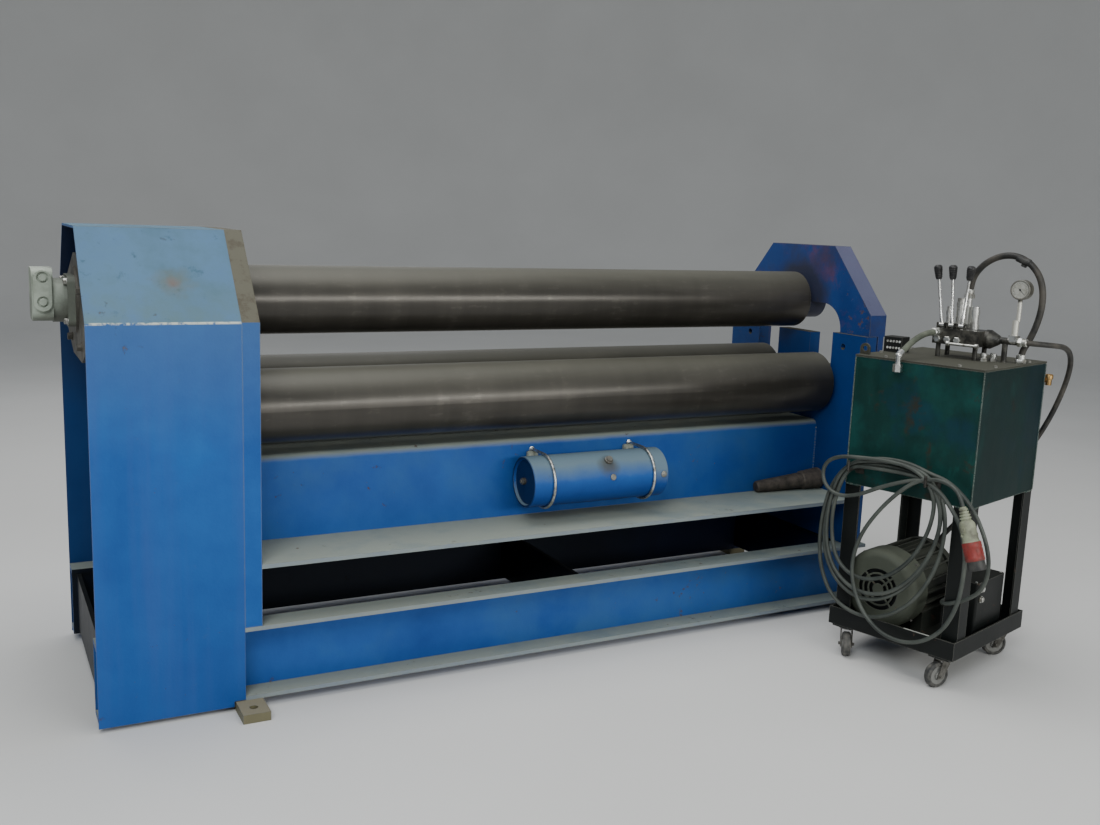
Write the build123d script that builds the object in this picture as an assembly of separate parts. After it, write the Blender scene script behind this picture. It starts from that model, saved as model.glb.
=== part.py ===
from build123d import *
import os
from math import hypot, radians, tan

# Three-roll plate rolling machine with its hydraulic power pack.
# The origin lies on the floor, midway between the four anchor holes.
# X runs along the rolls towards the drop end, -Y is the operator's side, Z is up.
# All sizes are millimetres.

# Rolls
ROLL_LENGTH = 2000.0
TOP_ROLL_R = 97.5
LOWER_ROLL_R = 104.0
LOWER_ROLL_Y = 144.0
LOWER_NECK_R = 45.0
NECK_CLEARANCE = 0.05
AXIS_RISE = 280.5
LIFT_STROKE = 120.0
ROLL_END_GAP = 5.0
NECK_END_GAP = 15.0

# Side plates; their outline is shared by the left cover and the drop end
PLATE_T = 45.0
TONGUE_DROP = 12.0
PLATE_HOLE_R = 10.0
PLATE_HOLE_Y = 257.0
PLATE_HOLE_Z = 905.0
HALF_DEPTH = 368.0
TOP_HALF_DEPTH = 168.0
KNEE_DROP = 27.5
TOP_COVER = 195.0

# Base frame of rolled channels on four foot pads
PAD_T = 25.0
PAD_WIDTH = 71.0
PAD_REACH = 88.0
ANCHOR_HOLE_R = 11.0
ANCHOR_HOLE_INSET = 40.0
CHANNEL_H = 200.0
CHANNEL_FLANGE = 75.0
CHANNEL_WEB_T = 8.5
CHANNEL_FLANGE_T = 11.5
TIE_T = 12.0
TIE_INSET = 15.0

# Bed between the side plates, and the shelf along each side
SHELF_RISE = 167.0
SHELF_T = 12.0
BED_H = 240.0
BED_HALF_WIDTH = 154.0
BED_SHEET_T = 10.0
BED_CORNER_R = 20.0
ROLL_OVER_BED = 33.0

# Cover round the drive end
COVER_LENGTH = 362.0
COVER_SHEET_T = 6.0
COVER_BOTTOM_Z = 12.0

# Bearing blocks that slide in the side plates, and their lift cylinders
BLOCK_HALF_WIDTH = 57.7
BLOCK_HALF_HEIGHT = 55.0
GUIDE_CLEARANCE = 0.3
SLOT_END_CLEARANCE = 8.0
BLOCK_OVERHANG = 70.0
CHEEK_T = 12.0
CHEEK_OVERLAP = 12.0
LIFT_ROD_R = 18.0
LIFT_BARREL_R = 40.0
LIFT_BARREL_H = 200.0
LIFT_BASE_T = 22.0
LIFT_HEAD_GAP = 74.0

# Drop end: the yoke that holds the right neck of the top roll and tilts outward
DROP_END_T = 80.0
YOKE_INSET = 10.0
SEAT_DROP = 99.5
SEAT_GAP = 0.5
SADDLE_R = 110.0
WINDOW_TOP_HALF = 134.0
WINDOW_TOP_DROP = 4.5
LEG_BLOCK_GAP = 12.3
BOSS_R = 66.0
BUSH_R = 56.0
TAPER_R_LARGE = 48.0
TAPER_DEGREES = 12.0
TAPER_CLEARANCE = 0.6
LEG_T = 25.0
LEG_GAP = 5.0
DROP_HINGE_DROP = 209.0
DROP_HINGE_BOSS_R = 32.0
DROP_HINGE_PIN_R = 14.0
LUG_T = 15.0
LUG_SIDE_GAP = 1.0

# Drive of the top roll
DRIVE_NECK_R = 60.0
DRIVE_SHAFT_R = 50.0
HOUSING_R = 110.0
HOUSING_SPIGOT_R = 79.7
HOUSING_T = 50.0
OUTER_PLATE_T = 30.0
OUTER_PLATE_INSET = 14.0
CARTRIDGE_R = 88.0
CARTRIDGE_T = 6.0
DRIVE_MOTOR_R = 57.0
MOTOR_FLANGE_HALF = 66.0
MOTOR_FLANGE_T = 18.0
MOTOR_BODY_OUT = 43.0
PORT_BLOCK_LENGTH = 50.0
PORT_R = 14.0

# Oil reservoir on the front of the bed
RESERVOIR_R = 77.5
RESERVOIR_LENGTH = 472.0
RESERVOIR_START_X = -192.0
RESERVOIR_RISE = 125.0
RESERVOIR_STANDOFF = 5.0
CLAMP_ROD_R = 4.5

# Tapered bar that lies loose in the corner of shelf and bed
BAR_TIP_INSET = 270.0
BAR_LENGTH = 260.0
BAR_TIP_R = 20.0
BAR_HEAD_R = 37.0

# Power pack, turned a little from the machine and standing on castors
PACK_X = 953.0
PACK_Y = -786.0
PACK_TURN = 16.0
TANK_SIDE = 400.0
TANK_BOTTOM_Z = 540.0
TANK_H = 390.0
TANK_WALL = 4.0
LID_T = 6.0
LEG_ANGLE = 50.0
LEG_ANGLE_T = 5.0
TRAY_LENGTH = 450.0
TRAY_WIDTH = 410.0
TRAY_BOTTOM_Z = 95.0
TRAY_HEIGHT = 55.0
TRAY_SHEET = 4.0
CASTOR_A = 190.0
CASTOR_B = 160.0
WHEEL_R = 37.5
WHEEL_WIDTH = 26.0
AXLE_R = 4.0
CASTOR_TRAIL = 22.0
CASTOR_TURNS = (-20.0, 35.0, -40.0, 10.0)
STARTER_BOX_A = -60.0
STARTER_BOX_B = -182.0
STARTER_BOX_LENGTH = 178.0
STARTER_BOX_WIDTH = 84.0
STARTER_BOX_TOP_Z = 288.0
GLAND_R = 13.0
GLAND_LENGTH = 16.0
GLAND_B = -128.0
GLAND_Z = 245.0
ELECTRIC_MOTOR_R = 118.0
ELECTRIC_MOTOR_B = 70.0
ELECTRIC_MOTOR_Z = 230.0
ELECTRIC_MOTOR_START_A = -115.0
ELECTRIC_MOTOR_END_A = 75.0
MOTOR_COWL_START_A = -185.0
PUMP_PORT_A = 178.0
VALVE_STANDOFF = 40.0
VALVE_H = 46.0
VALVE_LEFT_B = 59.0
VALVE_RIGHT_B = -85.0
RETURN_PORT_A = 62.0
RETURN_PORT_B = -8.0
LEVER_FIRST_B = 42.0
LEVER_PITCH = 31.0
LEVER_PIVOT_R = 3.0

# Cable and hoses
CABLE_D = 12.0
COIL_BACK_A = -228.0
COIL_FRONT_A = -262.0
COIL_BAND = 50.0
COIL_TOP_Z = 650.0
HOOK_R = 4.0
RETURN_HOSE_D = 19.0
SHORT_HOSE_D = 18.0
PRESSURE_HOSE_D = 16.0

# Places worked out from the sizes above
INNER_X = (ROLL_LENGTH + ROLL_END_GAP + NECK_END_GAP) / 2
OUTER_X = INNER_X + PLATE_T
INSIDE_SPAN = 2 * INNER_X
ROLL_LEFT_X = -INNER_X + ROLL_END_GAP
ROLL_RIGHT_X = ROLL_LEFT_X + ROLL_LENGTH
PLATE_BOTTOM_Z = PAD_T + CHANNEL_H
SHELF_TOP_Z = PLATE_BOTTOM_Z + SHELF_RISE
BED_TOP_Z = SHELF_TOP_Z + BED_H
LOWER_ROLL_Z = BED_TOP_Z + ROLL_OVER_BED + LOWER_ROLL_R
TOP_ROLL_Z = LOWER_ROLL_Z + AXIS_RISE
MACHINE_TOP_Z = TOP_ROLL_Z + TOP_COVER
KNEE_Z = TOP_ROLL_Z - KNEE_DROP
SEAT_Z = TOP_ROLL_Z - SEAT_DROP
WINDOW_TOP_Z = TOP_ROLL_Z - WINDOW_TOP_DROP
COVER_LEFT_X = -OUTER_X - COVER_LENGTH
SLOT_HALF = BLOCK_HALF_WIDTH + GUIDE_CLEARANCE
SLOT_BOTTOM_Z = LOWER_ROLL_Z - BLOCK_HALF_HEIGHT - SLOT_END_CLEARANCE
LIFT_X = OUTER_X + LIFT_BARREL_R + 5.0
LIFT_TOP_Z = LOWER_ROLL_Z - BLOCK_HALF_HEIGHT - LIFT_HEAD_GAP
LEG_INNER_Y = LOWER_ROLL_Y + BLOCK_HALF_WIDTH + CHEEK_OVERLAP + LEG_BLOCK_GAP
DROP_HINGE_X = OUTER_X + LEG_GAP + DROP_HINGE_BOSS_R - 2.0
DROP_HINGE_Z = LOWER_ROLL_Z - DROP_HINGE_DROP
ANCHOR_X = OUTER_X - 9.0
ANCHOR_Y = HALF_DEPTH + PAD_REACH - ANCHOR_HOLE_INSET
RESERVOIR_Z = SHELF_TOP_Z + RESERVOIR_RISE
TANK_TOP_Z = TANK_BOTTOM_Z + TANK_H
PUMP_PORT_B = ELECTRIC_MOTOR_B + 3.0
PUMP_PORT_Z = ELECTRIC_MOTOR_Z + 50.0

parts = {}


def block(x0, x1, y0, y1, z0, z1):
    centre = Pos((x0 + x1) / 2, (y0 + y1) / 2, (z0 + z1) / 2)
    return centre * Box(abs(x1 - x0), abs(y1 - y0), abs(z1 - z0))


def rod_x(radius, x0, x1, y, z):
    return Pos((x0 + x1) / 2, y, z) * Rot(0, 90, 0) * Cylinder(radius, abs(x1 - x0))


def rod_y(radius, y0, y1, x, z):
    return Pos(x, (y0 + y1) / 2, z) * Rot(90, 0, 0) * Cylinder(radius, abs(y1 - y0))


def rod_z(radius, z0, z1, x, y):
    return Pos(x, y, (z0 + z1) / 2) * Cylinder(radius, abs(z1 - z0))


def prism_x(points, x0, x1):
    """Extrude an outline of (y, z) points from x0 to x1."""
    face = Plane.YZ.offset(x0) * make_face(Polyline(*points, close=True))
    return extrude(face, amount=x1 - x0, dir=(1, 0, 0))


def turned_x(profile, y, z):
    """Turn a half profile of (x, radius) points about an axis along X."""
    face = make_face(Polyline(*profile, close=True))
    return Pos(0, y, z) * revolve(face, axis=Axis.X)


def turned_z(profile):
    """Turn a half profile of (radius, z) points about the Z axis."""
    face = Plane.XZ * make_face(Polyline(*profile, close=True))
    return revolve(face, axis=Axis.Z)


def both_sides(shape):
    """Return a shape and its copy mirrored to the other side in Y."""
    return [shape, mirror(shape, about=Plane.XZ)]


def house_outline(bottom_z):
    """Give the outline that the side plates and the cover share."""
    return [
        (-HALF_DEPTH, bottom_z),
        (-HALF_DEPTH, KNEE_Z),
        (-TOP_HALF_DEPTH, MACHINE_TOP_Z),
        (TOP_HALF_DEPTH, MACHINE_TOP_Z),
        (HALF_DEPTH, KNEE_Z),
        (HALF_DEPTH, bottom_z),
    ]


def tube(name, points, diameter):
    """Sweep a round section along straight runs joined by tangent arcs."""
    places = [Vector(*p) for p in points]
    radii = []
    for before, here, after in zip(places, places[1:], places[2:]):
        turn = (here - before).get_angle(after - here)
        run = min((here - before).length, (after - here).length)
        radii.append(0.45 * run / tan(radians(turn) / 2))
    path = FilletPolyline(*places, radius=radii)
    start = Plane(origin=path @ 0, z_dir=path % 0)
    solid = sweep(start * Circle(diameter / 2), path=path)
    print(name, "length", round(path.length), "radii", [round(r) for r in radii])
    return solid


def make_base():
    web_back = HALF_DEPTH - CHANNEL_FLANGE
    web_front = web_back + CHANNEL_WEB_T
    low = PAD_T
    high = PLATE_BOTTOM_Z
    profile = [
        (web_back, low),
        (HALF_DEPTH, low),
        (HALF_DEPTH, low + CHANNEL_FLANGE_T),
        (web_front, low + CHANNEL_FLANGE_T),
        (web_front, high - CHANNEL_FLANGE_T),
        (HALF_DEPTH, high - CHANNEL_FLANGE_T),
        (HALF_DEPTH, high),
        (web_back, high),
    ]
    channel = prism_x(profile, COVER_LEFT_X, OUTER_X + 30)
    trimmed_y = HALF_DEPTH - COVER_SHEET_T
    channel -= block(COVER_LEFT_X - 1, -OUTER_X, trimmed_y, HALF_DEPTH + 1, low - 1, high + 1)
    parts["base_channels"] = Compound(both_sides(channel))

    ties = []
    for x in (COVER_LEFT_X + 20, -INNER_X - PLATE_T / 2, 0.0, INNER_X + PLATE_T / 2):
        ties.append(
            block(
                x - TIE_T / 2,
                x + TIE_T / 2,
                -web_back,
                web_back,
                low + TIE_INSET,
                high - TIE_INSET,
            )
        )
    parts["base_cross_ties"] = Compound(ties)

    pads = []
    for side_x in (-1, 1):
        for side_y in (-1, 1):
            centre_x = side_x * ANCHOR_X
            pad = block(
                centre_x - PAD_WIDTH / 2,
                centre_x + PAD_WIDTH / 2,
                side_y * (HALF_DEPTH + PAD_REACH),
                side_y * web_back,
                0,
                PAD_T,
            )
            pad -= rod_z(ANCHOR_HOLE_R, -1, PAD_T + 1, centre_x, side_y * ANCHOR_Y)
            pads.append(pad)
    parts["foot_pads"] = Compound(pads)


def make_side_plates():
    plate = prism_x(house_outline(PLATE_BOTTOM_Z), -OUTER_X, -INNER_X)
    plate -= rod_x(HOUSING_SPIGOT_R + GUIDE_CLEARANCE, -OUTER_X - 1, -INNER_X + 1, 0, TOP_ROLL_Z)
    for side in (-1, 1):
        y = side * LOWER_ROLL_Y
        plate -= block(
            -OUTER_X - 1, -INNER_X + 1, y - SLOT_HALF, y + SLOT_HALF, SLOT_BOTTOM_Z, SEAT_Z
        )
    parts["side_plate_left"] = plate

    low_outline = [
        (-HALF_DEPTH, PLATE_BOTTOM_Z),
        (-HALF_DEPTH, SEAT_Z - SEAT_GAP),
        (HALF_DEPTH, SEAT_Z - SEAT_GAP),
        (HALF_DEPTH, PLATE_BOTTOM_Z),
    ]
    plate = prism_x(low_outline, INNER_X, OUTER_X)
    for side in (-1, 1):
        y = side * LOWER_ROLL_Y
        plate -= block(
            INNER_X - 1, OUTER_X + 1, y - SLOT_HALF, y + SLOT_HALF, SLOT_BOTTOM_Z, SEAT_Z + 1
        )
    plate -= rod_x(SADDLE_R, INNER_X - 1, OUTER_X + 1, 0, TOP_ROLL_Z)
    tongue_half = LOWER_ROLL_Y - SLOT_HALF + 1
    plate -= block(
        INNER_X - 1, OUTER_X + 1, -tongue_half, tongue_half, SEAT_Z - TONGUE_DROP, SEAT_Z + 1
    )
    for y in (-PLATE_HOLE_Y, PLATE_HOLE_Y):
        plate -= rod_x(PLATE_HOLE_R, INNER_X - 1, OUTER_X + 1, y, PLATE_HOLE_Z)
    parts["side_plate_right"] = plate


def make_bed():
    outer = Pos(0, 0) * Rectangle(2 * BED_HALF_WIDTH, BED_TOP_Z - SHELF_TOP_Z)
    outer = Pos(0, (BED_TOP_Z + SHELF_TOP_Z) / 2) * outer
    top_corners = outer.vertices().group_by(Axis.Y)[-1]
    outer = fillet(top_corners, BED_CORNER_R)
    inner_width = 2 * (BED_HALF_WIDTH - BED_SHEET_T)
    inner_height = BED_TOP_Z - SHELF_TOP_Z - BED_SHEET_T
    inner = Pos(0, SHELF_TOP_Z + inner_height / 2) * Rectangle(inner_width, inner_height)
    inner = fillet(inner.vertices().group_by(Axis.Y)[-1], BED_CORNER_R - BED_SHEET_T)
    profile = Plane.YZ.offset(-INNER_X) * (outer - inner)
    parts["bed_beam"] = extrude(profile, amount=INSIDE_SPAN, dir=(1, 0, 0))

    shelf = block(
        -INNER_X,
        INNER_X,
        BED_HALF_WIDTH - 2 * BED_SHEET_T,
        HALF_DEPTH,
        SHELF_TOP_Z - SHELF_T,
        SHELF_TOP_Z,
    )
    parts["bed_shelves"] = Compound(both_sides(shelf))

    panel_y = HALF_DEPTH - CHANNEL_FLANGE + CHANNEL_WEB_T
    parts["rear_slot_panel"] = block(
        -INNER_X, INNER_X, panel_y, panel_y + 4, PLATE_BOTTOM_Z, SHELF_TOP_Z - SHELF_T
    )


def make_left_cover():
    skin = prism_x(house_outline(COVER_BOTTOM_Z), COVER_LEFT_X, -OUTER_X)
    face = make_face(Polyline(*house_outline(COVER_BOTTOM_Z - 40), close=True))
    inner = offset(face, amount=-COVER_SHEET_T, kind=Kind.INTERSECTION)
    inner = Plane.YZ.offset(COVER_LEFT_X - 1) * inner
    skin -= extrude(inner, amount=COVER_LENGTH + 2, dir=(1, 0, 0))
    notch_x = -ANCHOR_X - PAD_WIDTH / 2 - 3
    skin -= block(notch_x, -OUTER_X + 1, -HALF_DEPTH - 1, HALF_DEPTH + 1, 0, PAD_T + 2)
    far = 2 * HALF_DEPTH
    top_z = MACHINE_TOP_Z + 1
    span = (COVER_LEFT_X - 1, -OUTER_X + 1)
    rear_side = skin & block(*span, TOP_HALF_DEPTH, far, 0, top_z)
    parts["left_cover_sides"] = Compound(both_sides(rear_side))
    parts["left_cover_top"] = skin & block(*span, -TOP_HALF_DEPTH, TOP_HALF_DEPTH, 0, top_z)


def make_rolls():
    taper_end_x = INNER_X + DROP_END_T
    taper_drop = (DROP_END_T - 2) * tan(radians(TAPER_DEGREES))
    shaft_end_x = drive_faces()[1] - 12
    profile = [
        (shaft_end_x, 0),
        (shaft_end_x, DRIVE_SHAFT_R),
        (-OUTER_X - HOUSING_T - 20, DRIVE_SHAFT_R),
        (-OUTER_X - HOUSING_T - 10, DRIVE_NECK_R),
        (ROLL_LEFT_X, DRIVE_NECK_R),
        (ROLL_LEFT_X, TOP_ROLL_R - 4),
        (ROLL_LEFT_X + 4, TOP_ROLL_R),
        (ROLL_RIGHT_X - 4, TOP_ROLL_R),
        (ROLL_RIGHT_X, TOP_ROLL_R - 4),
        (ROLL_RIGHT_X, TAPER_R_LARGE),
        (INNER_X + 2, TAPER_R_LARGE),
        (taper_end_x, TAPER_R_LARGE - taper_drop),
        (taper_end_x, 0),
    ]
    parts["top_roll"] = turned_x(profile, 0, TOP_ROLL_Z)

    neck_end_x = OUTER_X + BLOCK_OVERHANG - 20
    profile = [
        (-neck_end_x, 0),
        (-neck_end_x, LOWER_NECK_R),
        (ROLL_LEFT_X, LOWER_NECK_R),
        (ROLL_LEFT_X, LOWER_ROLL_R - 4),
        (ROLL_LEFT_X + 4, LOWER_ROLL_R),
        (ROLL_RIGHT_X - 4, LOWER_ROLL_R),
        (ROLL_RIGHT_X, LOWER_ROLL_R - 4),
        (ROLL_RIGHT_X, LOWER_NECK_R),
        (neck_end_x, LOWER_NECK_R),
        (neck_end_x, 0),
    ]
    rear, front = both_sides(turned_x(profile, LOWER_ROLL_Y, LOWER_ROLL_Z))
    parts["front_roll"] = front
    parts["rear_roll"] = rear


def bearing_block(side):
    """Make one rear bearing block; side is -1 at the drive end, 1 at the drop end."""
    y = LOWER_ROLL_Y
    low = LOWER_ROLL_Z - BLOCK_HALF_HEIGHT
    high = LOWER_ROLL_Z + BLOCK_HALF_HEIGHT
    body = block(
        side * (INNER_X + 1),
        side * (OUTER_X + BLOCK_OVERHANG),
        y - BLOCK_HALF_WIDTH,
        y + BLOCK_HALF_WIDTH,
        low,
        high,
    )
    cheek_x = OUTER_X + GUIDE_CLEARANCE
    cheek_half = BLOCK_HALF_WIDTH + CHEEK_OVERLAP
    body += block(
        side * cheek_x, side * (cheek_x + CHEEK_T), y - cheek_half, y + cheek_half, low, high
    )
    inside = INNER_X - 5
    outside = OUTER_X + BLOCK_OVERHANG + 5
    return body - rod_x(LOWER_NECK_R + NECK_CLEARANCE, side * inside, side * outside, y, LOWER_ROLL_Z)


def lift_cylinder(side):
    """Make one lift cylinder with the foot that is welded to the side plate."""
    y = LOWER_ROLL_Y
    bottom_z = LIFT_TOP_Z - LIFT_BARREL_H
    barrel = rod_z(LIFT_BARREL_R, bottom_z, LIFT_TOP_Z, side * LIFT_X, y)
    barrel += rod_z(LIFT_BARREL_R + 4, LIFT_TOP_Z - 28, LIFT_TOP_Z, side * LIFT_X, y)
    barrel += block(
        side * OUTER_X,
        side * (LIFT_X + LIFT_BARREL_R),
        y - LIFT_BARREL_R - 10,
        y + LIFT_BARREL_R + 10,
        bottom_z - LIFT_BASE_T,
        bottom_z,
    )
    bore_bottom = LIFT_TOP_Z - LIFT_STROKE - 35
    bore = rod_z(LIFT_ROD_R + NECK_CLEARANCE, bore_bottom, LIFT_TOP_Z + 1, side * LIFT_X, y)
    return barrel - bore


def make_lift():
    rod_bottom = LIFT_TOP_Z - LIFT_STROKE - 25
    rod_top = LOWER_ROLL_Z - BLOCK_HALF_HEIGHT
    rear_blocks = []
    for side in (-1, 1):
        rod = rod_z(LIFT_ROD_R, rod_bottom, rod_top, side * LIFT_X, LOWER_ROLL_Y)
        rear_blocks.append(bearing_block(side) + rod)
    rear_cylinders = [lift_cylinder(-1), lift_cylinder(1)]
    front_cylinders = [mirror(c, about=Plane.XZ) for c in rear_cylinders]
    parts["rear_bearing_blocks"] = Compound(rear_blocks)
    parts["front_bearing_blocks"] = Compound([mirror(b, about=Plane.XZ) for b in rear_blocks])
    parts["lift_cylinders"] = Compound(rear_cylinders + front_cylinders)


def make_drop_end():
    yoke_outline = [
        (-HALF_DEPTH, SEAT_Z),
        (-HALF_DEPTH, KNEE_Z),
        (-TOP_HALF_DEPTH, MACHINE_TOP_Z),
        (TOP_HALF_DEPTH, MACHINE_TOP_Z),
        (HALF_DEPTH, KNEE_Z),
        (HALF_DEPTH, SEAT_Z),
        (LEG_INNER_Y, SEAT_Z),
        (LEG_INNER_Y, WINDOW_TOP_Z),
        (-LEG_INNER_Y, WINDOW_TOP_Z),
        (-LEG_INNER_Y, SEAT_Z),
    ]
    outer_x = INNER_X + DROP_END_T
    yoke_start = INNER_X + YOKE_INSET
    yoke = prism_x(yoke_outline, yoke_start, outer_x)
    upright_edges = yoke.edges().filter_by(Axis.X)
    window_corners = [
        edge
        for edge in upright_edges
        if abs(edge.center().Z - WINDOW_TOP_Z) < 1 and abs(abs(edge.center().Y) - LEG_INNER_Y) < 1
    ]
    yoke = fillet(window_corners, LEG_INNER_Y - WINDOW_TOP_HALF)
    yoke += rod_x(BOSS_R, INNER_X, outer_x, 0, TOP_ROLL_Z)
    yoke -= rod_x(BUSH_R, INNER_X - 1, outer_x + 1, 0, TOP_ROLL_Z)
    leg_x = OUTER_X + LEG_GAP
    leg_bottom = DROP_HINGE_Z + DROP_HINGE_BOSS_R + 12
    lug_outer_y = HALF_DEPTH - 2
    boss_outer_y = lug_outer_y - LUG_T - LUG_SIDE_GAP
    boss_inner_y = LEG_INNER_Y + LUG_T + LUG_SIDE_GAP
    for side in (-1, 1):
        yoke += block(
            leg_x, leg_x + LEG_T, side * LEG_INNER_Y, side * HALF_DEPTH, leg_bottom, SEAT_Z + 5
        )
        yoke += block(
            leg_x,
            leg_x + LEG_T,
            side * boss_inner_y,
            side * boss_outer_y,
            DROP_HINGE_Z,
            leg_bottom + 1,
        )
        yoke += rod_y(
            DROP_HINGE_BOSS_R,
            side * boss_inner_y,
            side * boss_outer_y,
            DROP_HINGE_X,
            DROP_HINGE_Z,
        )
        yoke -= rod_y(
            DROP_HINGE_PIN_R + NECK_CLEARANCE,
            side * (boss_inner_y - 1),
            side * (boss_outer_y + 1),
            DROP_HINGE_X,
            DROP_HINGE_Z,
        )
    parts["drop_end_yoke"] = yoke

    taper = tan(radians(TAPER_DEGREES))
    mouth_r = TAPER_R_LARGE + TAPER_CLEARANCE
    end_r = mouth_r - (DROP_END_T - 2) * taper
    bush_profile = [
        (INNER_X, mouth_r),
        (INNER_X + 2, mouth_r),
        (outer_x, end_r),
        (outer_x, BUSH_R),
        (INNER_X, BUSH_R),
    ]
    parts["drop_end_bush"] = turned_x(bush_profile, 0, TOP_ROLL_Z)

    hinges = []
    for side in (-1, 1):
        hinge = rod_y(
            DROP_HINGE_PIN_R,
            side * (LEG_INNER_Y - 6),
            side * (lug_outer_y + 4),
            DROP_HINGE_X,
            DROP_HINGE_Z,
        )
        for y0 in (LEG_INNER_Y, lug_outer_y - LUG_T):
            lug = block(
                OUTER_X,
                DROP_HINGE_X,
                side * y0,
                side * (y0 + LUG_T),
                DROP_HINGE_Z - DROP_HINGE_BOSS_R,
                DROP_HINGE_Z + DROP_HINGE_BOSS_R,
            )
            hinge += lug
            hinge += rod_y(
                DROP_HINGE_BOSS_R, side * y0, side * (y0 + LUG_T), DROP_HINGE_X, DROP_HINGE_Z
            )
        hinges.append(hinge)
    parts["drop_end_hinges"] = Compound(hinges)


def drive_faces():
    """Give the outer face of the outboard plate and of its bearing cartridge."""
    plate_face = COVER_LEFT_X + OUTER_PLATE_INSET
    return plate_face, plate_face - CARTRIDGE_T


def make_drive():
    plate_face, cartridge_face = drive_faces()
    shaft_bore = DRIVE_SHAFT_R + NECK_CLEARANCE
    neck_bore = DRIVE_NECK_R + NECK_CLEARANCE
    profile = [
        (-OUTER_X - HOUSING_T, neck_bore),
        (-OUTER_X - HOUSING_T, HOUSING_R - 18),
        (-OUTER_X - 20, HOUSING_R - 14),
        (-OUTER_X - 20, HOUSING_R),
        (-OUTER_X, HOUSING_R),
        (-OUTER_X, HOUSING_SPIGOT_R),
        (-INNER_X - 1, HOUSING_SPIGOT_R),
        (-INNER_X - 1, neck_bore),
    ]
    parts["top_bearing_housing"] = turned_x(profile, 0, TOP_ROLL_Z)

    slope = (MACHINE_TOP_Z - KNEE_Z) / (HALF_DEPTH - TOP_HALF_DEPTH)
    reach = HALF_DEPTH - COVER_SHEET_T
    knee = KNEE_Z - COVER_SHEET_T * (hypot(1, slope) - slope)
    high = TOP_ROLL_Z + 27
    high_y = reach - (high - knee) / slope
    peak = TOP_ROLL_Z + 122
    low = TOP_ROLL_Z - 64
    foot = TOP_ROLL_Z - 152
    left_half = [(-116, foot), (-reach, low), (-reach, knee), (-high_y, high), (-35, peak)]
    right_half = [(-y, z) for y, z in reversed(left_half)]
    plate = prism_x(left_half + right_half, plate_face, plate_face + OUTER_PLATE_T)
    plate += rod_x(CARTRIDGE_R, cartridge_face, plate_face, 0, TOP_ROLL_Z)
    plate += rod_x(CARTRIDGE_R - 15, plate_face, plate_face + OUTER_PLATE_T + 35, 0, TOP_ROLL_Z)
    plate -= rod_x(shaft_bore, cartridge_face - 1, -OUTER_X, 0, TOP_ROLL_Z)
    parts["outboard_plate"] = plate

    body_end = COVER_LEFT_X - MOTOR_BODY_OUT
    port_end = body_end - PORT_BLOCK_LENGTH
    flange_face = cartridge_face - MOTOR_FLANGE_T
    half = MOTOR_FLANGE_HALF
    motor = block(
        flange_face, cartridge_face, -half, half, TOP_ROLL_Z - half, TOP_ROLL_Z + half
    )
    motor = fillet(motor.edges().filter_by(Axis.X), 18)
    motor += rod_x(DRIVE_MOTOR_R, body_end, flange_face, 0, TOP_ROLL_Z)
    motor += rod_x(DRIVE_MOTOR_R + 4, flange_face - 7, flange_face, 0, TOP_ROLL_Z)
    motor -= rod_x(DRIVE_SHAFT_R + 3, cartridge_face - 13, cartridge_face + 1, 0, TOP_ROLL_Z)
    ports = block(port_end, body_end, -56, 56, TOP_ROLL_Z - 51, TOP_ROLL_Z + 84)
    ports = fillet(ports.edges().filter_by(Axis.X), 22)
    motor += ports
    face_x = (port_end + body_end) / 2
    boss = Plane(origin=(face_x, -56, TOP_ROLL_Z + 28), x_dir=(0, 0, 1), z_dir=(0, -1, 0))
    boss = extrude(boss * SlotOverall(104, 43), amount=12)
    motor += boss
    for z in (TOP_ROLL_Z, TOP_ROLL_Z + 62):
        motor -= rod_y(PORT_R, -69, -62, face_x, z)
        motor += rod_y(PORT_R - 5, -70, -61, face_x, z)
    parts["roll_motor"] = motor


def make_reservoir():
    y = -BED_HALF_WIDTH - RESERVOIR_STANDOFF - RESERVOIR_R
    x0 = RESERVOIR_START_X
    x1 = x0 + RESERVOIR_LENGTH
    rim = 7.0
    profile = [
        (x0 + 8, 0),
        (x0 + 8, RESERVOIR_R - rim - 3),
        (x0, RESERVOIR_R - rim),
        (x0, RESERVOIR_R - 2),
        (x0 + 2, RESERVOIR_R),
        (x1 - 2, RESERVOIR_R),
        (x1, RESERVOIR_R - 2),
        (x1, RESERVOIR_R - rim),
        (x1 - 8, RESERVOIR_R - rim - 3),
        (x1 - 8, 0),
    ]
    tank = turned_x(profile, y, RESERVOIR_Z)
    for x in (x0 + 65, x1 - 55):
        tank += block(
            x - 15, x + 15, y + RESERVOIR_R - 14, -BED_HALF_WIDTH, RESERVOIR_Z - 28, RESERVOIR_Z + 28
        )
    parts["oil_reservoir"] = tank

    clamps = []
    bend_r = RESERVOIR_R + CLAMP_ROD_R + 0.3
    for x in (x0 + 65, x1 - 55):
        top = (x, -BED_HALF_WIDTH, RESERVOIR_Z + bend_r)
        start = (x, y, RESERVOIR_Z + bend_r)
        middle = (x, y - bend_r, RESERVOIR_Z)
        end = (x, y, RESERVOIR_Z - bend_r)
        bottom = (x, -BED_HALF_WIDTH, RESERVOIR_Z - bend_r)
        path = Line(top, start) + ThreePointArc(start, middle, end) + Line(end, bottom)
        clamp = sweep(Plane(origin=top, z_dir=(0, -1, 0)) * Circle(CLAMP_ROD_R), path=path)
        clamps.append(clamp)
    parts["reservoir_clamps"] = Compound(clamps)


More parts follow.
